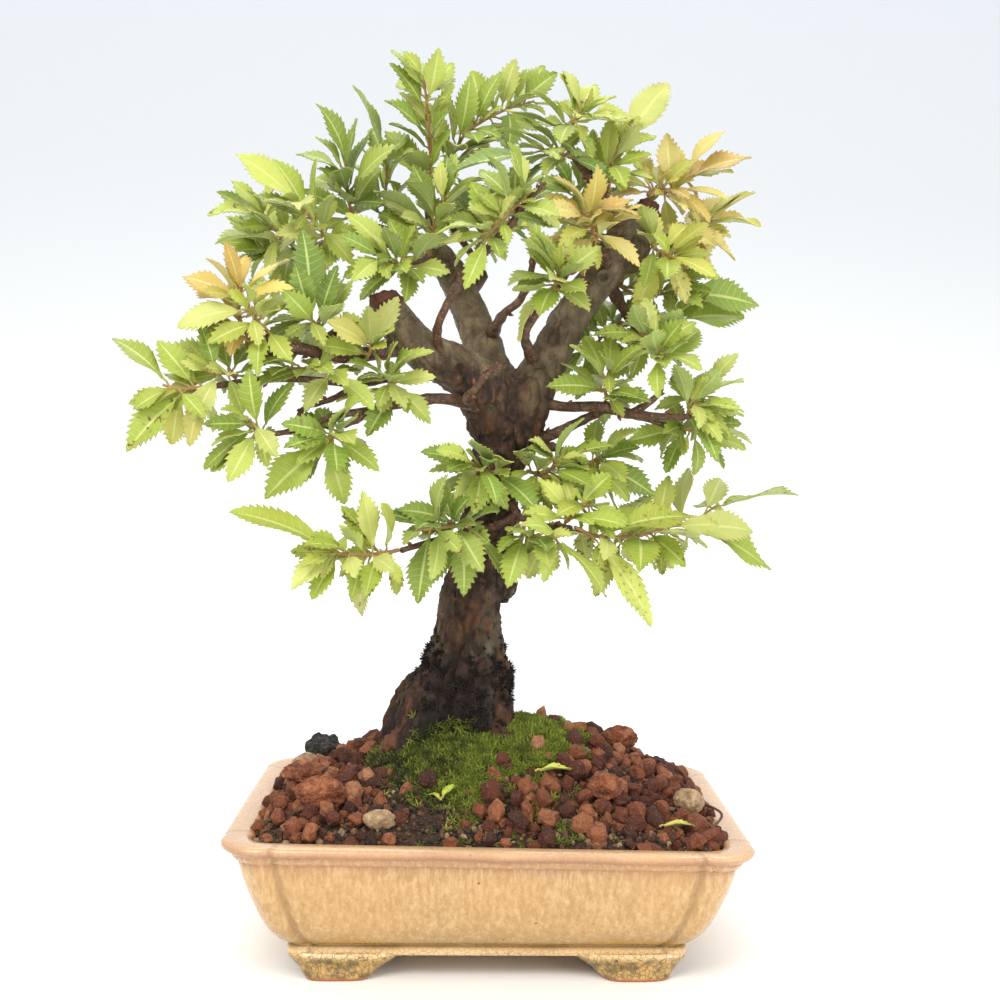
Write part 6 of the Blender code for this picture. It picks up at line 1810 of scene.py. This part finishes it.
print("leaves in all:", sum(len(leaves) for leaves in leaves_of.values()))

blade = Finish("elm_leaf")
row, across, under = blade.reads("row"), blade.reads("across"), blade.reads("under")
tint = blade.reads("tint", "Color")
beat = blade.maths("FRACT", blade.plus(row, 0.5))
off_vein = blade.maths("ABSOLUTE", blade.maths("SUBTRACT", beat, 0.5))
vein = blade.times(blade.steps(off_vein, 0.1, 0.02), blade.steps(across, 1.0, 0.7, 0.2, 1.0))
midrib = blade.steps(across, 0.13, 0.05)
is_stalk = blade.maths("LESS_THAN", across, -0.5)
lines = blade.most(blade.times(vein, 0.26), blade.times(midrib, 0.6))
cloud = blade.noise(blade.sized(3.6), 4, 0.6)
fine = blade.noise(blade.sized(0.6), 3, 0.6)
leaf_colour = blade.mix(blade.steps(cloud, 0.35, 0.7, 0.0, 0.35), tint,
                        blade.mix(1.0, tint, (0.78, 0.88, 0.66, 1.0), "MULTIPLY"))
leaf_colour = blade.mix(blade.steps(fine, 0.5, 0.7, 0.0, 0.22), leaf_colour,
                        blade.mix(1.0, leaf_colour, (0.8, 0.9, 0.7, 1.0), "MULTIPLY"))
between = blade.steps(off_vein, 0.1, 0.45, 0.08, 0.0)
leaf_colour = blade.mix(between, leaf_colour, blade.mix(1.0, leaf_colour, (0.62, 0.78, 0.5, 1.0), "MULTIPLY"))
leaf_colour = blade.mix(lines, leaf_colour, paint(214, 218, 134))
rust = blade.times(blade.steps(across, 0.8, 1.0), blade.steps(cloud, 0.45, 0.6, 0.0, 0.35))
leaf_colour = blade.mix(rust, leaf_colour, paint(176, 122, 58))
pale = blade.mix(0.42, leaf_colour, paint(178, 190, 130))
leaf_colour = blade.mix(under, leaf_colour, pale)
spots = blade.steps(blade.noise(blade.sized(1.9), 3, 0.6), 0.58, 0.64)
sick = blade.times(spots, blade.reads("blight"))
leaf_colour = blade.mix(sick, leaf_colour, paint(104, 66, 34))
leaf_colour = blade.mix(is_stalk, leaf_colour, blade.mix(cloud, tint, paint(150, 96, 62)))
leaf_skin = blade.bump(blade.times(lines, -1.0), 0.12)
leaf_skin = blade.bump(fine, 0.07, leaf_skin)
blade.set(base_color=leaf_colour, roughness=blade.steps(cloud, 0.3, 0.7, 0.42, 0.56), normal=leaf_skin,
          subsurface_weight=0.0)
blade.shader.inputs["Specular IOR Level"].default_value = 0.4

rng = random.Random(123)
for shoot in shoots:
    leafy = grow_shoot(shoot.name, shoot, leaves_of[shoot.name], rng)
    leafy.data.materials.append(blade.material)
    finished(leafy, "leaf", "shoot_" + shoot.name)

# ----------------------------------------------------------------------------------------------------
# The litter. Yellowing elm leaves that have dropped on the moss and the grit, and one bare rootlet that loops
# out of the soil on the right. They lie loose, and only their own weight holds them.

fallen_low, fallen_high = (corner / MM for corner in (Vector(corner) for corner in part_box("fallen_leaf")))
rng = random.Random(41)


def dropped(name, place, heading, length, height, tint, slope=0.0, cup=0.3):
    """A leaf lying face up, with its stalk behind it."""
    along = Vector((math.cos(heading), math.sin(heading), slope)).normalized()
    side = along.cross(Vector((0, 0, 1))).normalized()
    upper = side.cross(along)
    root = Vector((*place, height))
    midrib = [root + along * length * part + upper * cup * 3 * math.sin(math.pi * part)
              for part in LEAF_STATIONS]
    foliage = Foliage()
    add_blade(foliage, (midrib, side, upper, length * 0.44), root, tint, (0, 0), 1.0, rng, 0.6)
    leaf = foliage.made(name)
    leaf.data.materials.append(blade.material)
    return leaf


middle_z = (fallen_low.z + fallen_high.z) / 2
finished(dropped("fallen_leaf_right", (52, -42.5), 0.13, 11.2, middle_z - 0.2, paint(196, 190, 84)), "leaf",
         "fallen_leaf")
for name, place, heading, length, tint, slope in (
    ("fallen_leaf_moss", (14.5, -31), 0.22, 12.5, paint(196, 200, 78), 0.0),
    ("fallen_leaf_front", (-14.5, -39.5), 0.9, 7.5, paint(176, 192, 60), 0.5),
    ("fallen_leaf_front_small", (-14.5, -39.5), 2.2, 6.0, paint(190, 196, 76), 0.1),
    ("fallen_leaf_back", (24, 33), 2.6, 11.0, paint(188, 176, 84), 0.0),
    ("fallen_leaf_back_left", (-44, 30), 4.4, 10.0, paint(170, 150, 76), 0.0),
):
    height = soil_height(*place) + MOSS_THICKNESS + 0.6
    finished(dropped(name, place, heading, length, height, tint, slope), "leaf")

loop_points = [(58, -24), (63, -23), (69, -24), (73, -28), (72, -33), (67, -36)]
loop_lifts = (-1.5, 2.2, 3.4, 3.8, 2.6, -1.6)
root_route = [Vector((x, y, soil_height(x, y) + lift, 0.42))
              for (x, y), lift in zip(loop_points, loop_lifts)]
rootlet = round_member(root_route, 8, 8, 0.2, 77)
rootlet.name = "rootlet"
rootlet.data.shade_smooth()
rootlet.data.materials.append(rind.material)
finished(rootlet, "bark")

# ----------------------------------------------------------------------------------------------------
# The stage: a pale sheet that runs up behind the pot, broad soft lamps, and the camera.

sheet_points, sheet_faces = [], []
SWEEP = 2.4
profile = [(-2.5, 0), (0.5, 0)]
for degrees in range(4, 91, 4):
    angle = math.radians(degrees)
    profile.append((0.5 + SWEEP * math.sin(angle), SWEEP * (1 - math.cos(angle))))
profile.append((0.5 + SWEEP, 5.0))
for y, z in profile:
    sheet_points += [(-3500, y / MM, z / MM), (3500, y / MM, z / MM)]
for k in range(len(profile) - 1):
    sheet_faces.append((2 * k, 2 * k + 1, 2 * k + 3, 2 * k + 2))
floor_mesh = bpy.data.meshes.new("floor")
floor_mesh.from_pydata([(x * MM, y * MM, z * MM) for x, y, z in sheet_points], [], sheet_faces)
floor_mesh.shade_smooth()
floor = bpy.data.objects.new("floor", floor_mesh)
bpy.context.collection.objects.link(floor)
paper = Finish("studio_paper")
rise = paper.add("SeparateXYZ", {0: paper.place}).outputs["Z"]
paper_colour = paper.mix(paper.steps(rise, -0.3, 1.8), paint(252, 250, 246), paint(243, 248, 252))
floor_mesh.materials.append(paper.set(base_color=paper_colour, roughness=0.9))

world = bpy.data.worlds.new("studio_air")
world.use_nodes = True
world.node_tree.nodes["Background"].inputs["Color"].default_value = (0.93, 0.96, 1.0, 1)
world.node_tree.nodes["Background"].inputs["Strength"].default_value = 0.86
bpy.context.scene.world = world


def lamp(name, place, aim, size, power, colour):
    light = bpy.data.lights.new(name, "AREA")
    light.shape = "DISK"
    light.size = size
    light.energy = power
    light.color = colour
    obj = bpy.data.objects.new(name, light)
    obj.location = place
    obj.rotation_euler = (Vector(aim) - Vector(place)).to_track_quat("-Z", "Y").to_euler()
    bpy.context.collection.objects.link(obj)


lamp("key", (-0.55, -0.9, 1.15), (0, 0, 0.15), 0.9, 13.5, (1.0, 0.98, 0.94))
lamp("fill", (0.95, -0.8, 0.6), (0, 0, 0.15), 1.0, 7, (0.97, 0.98, 1.0))
lamp("top", (0.1, 0.5, 1.3), (0, 0, 0.1), 1.0, 9, (1.0, 1.0, 1.0))

yaw, pitch, roll = math.radians(0.9), math.radians(2.54), math.radians(0.5)
ahead = Vector((math.sin(yaw) * math.cos(pitch), math.cos(yaw) * math.cos(pitch), -math.sin(pitch)))
right = Vector((math.cos(yaw), -math.sin(yaw), 0))
above = right.cross(ahead)
level_right = right * math.cos(roll) + above * math.sin(roll)
level_above = above * math.cos(roll) - right * math.sin(roll)
lens = bpy.data.cameras.new("camera")
lens.lens = 51.34
lens.sensor_width = 36.0
lens.clip_start = 0.01
camera = bpy.data.objects.new("camera", lens)
turn = Matrix((level_right, level_above, -ahead)).transposed().to_4x4()
camera.matrix_world = Matrix.Translation((-0.004, -0.470, 0.166)) @ turn
bpy.context.collection.objects.link(camera)
bpy.context.scene.camera = camera
bpy.context.scene.view_settings.view_transform = "Standard"
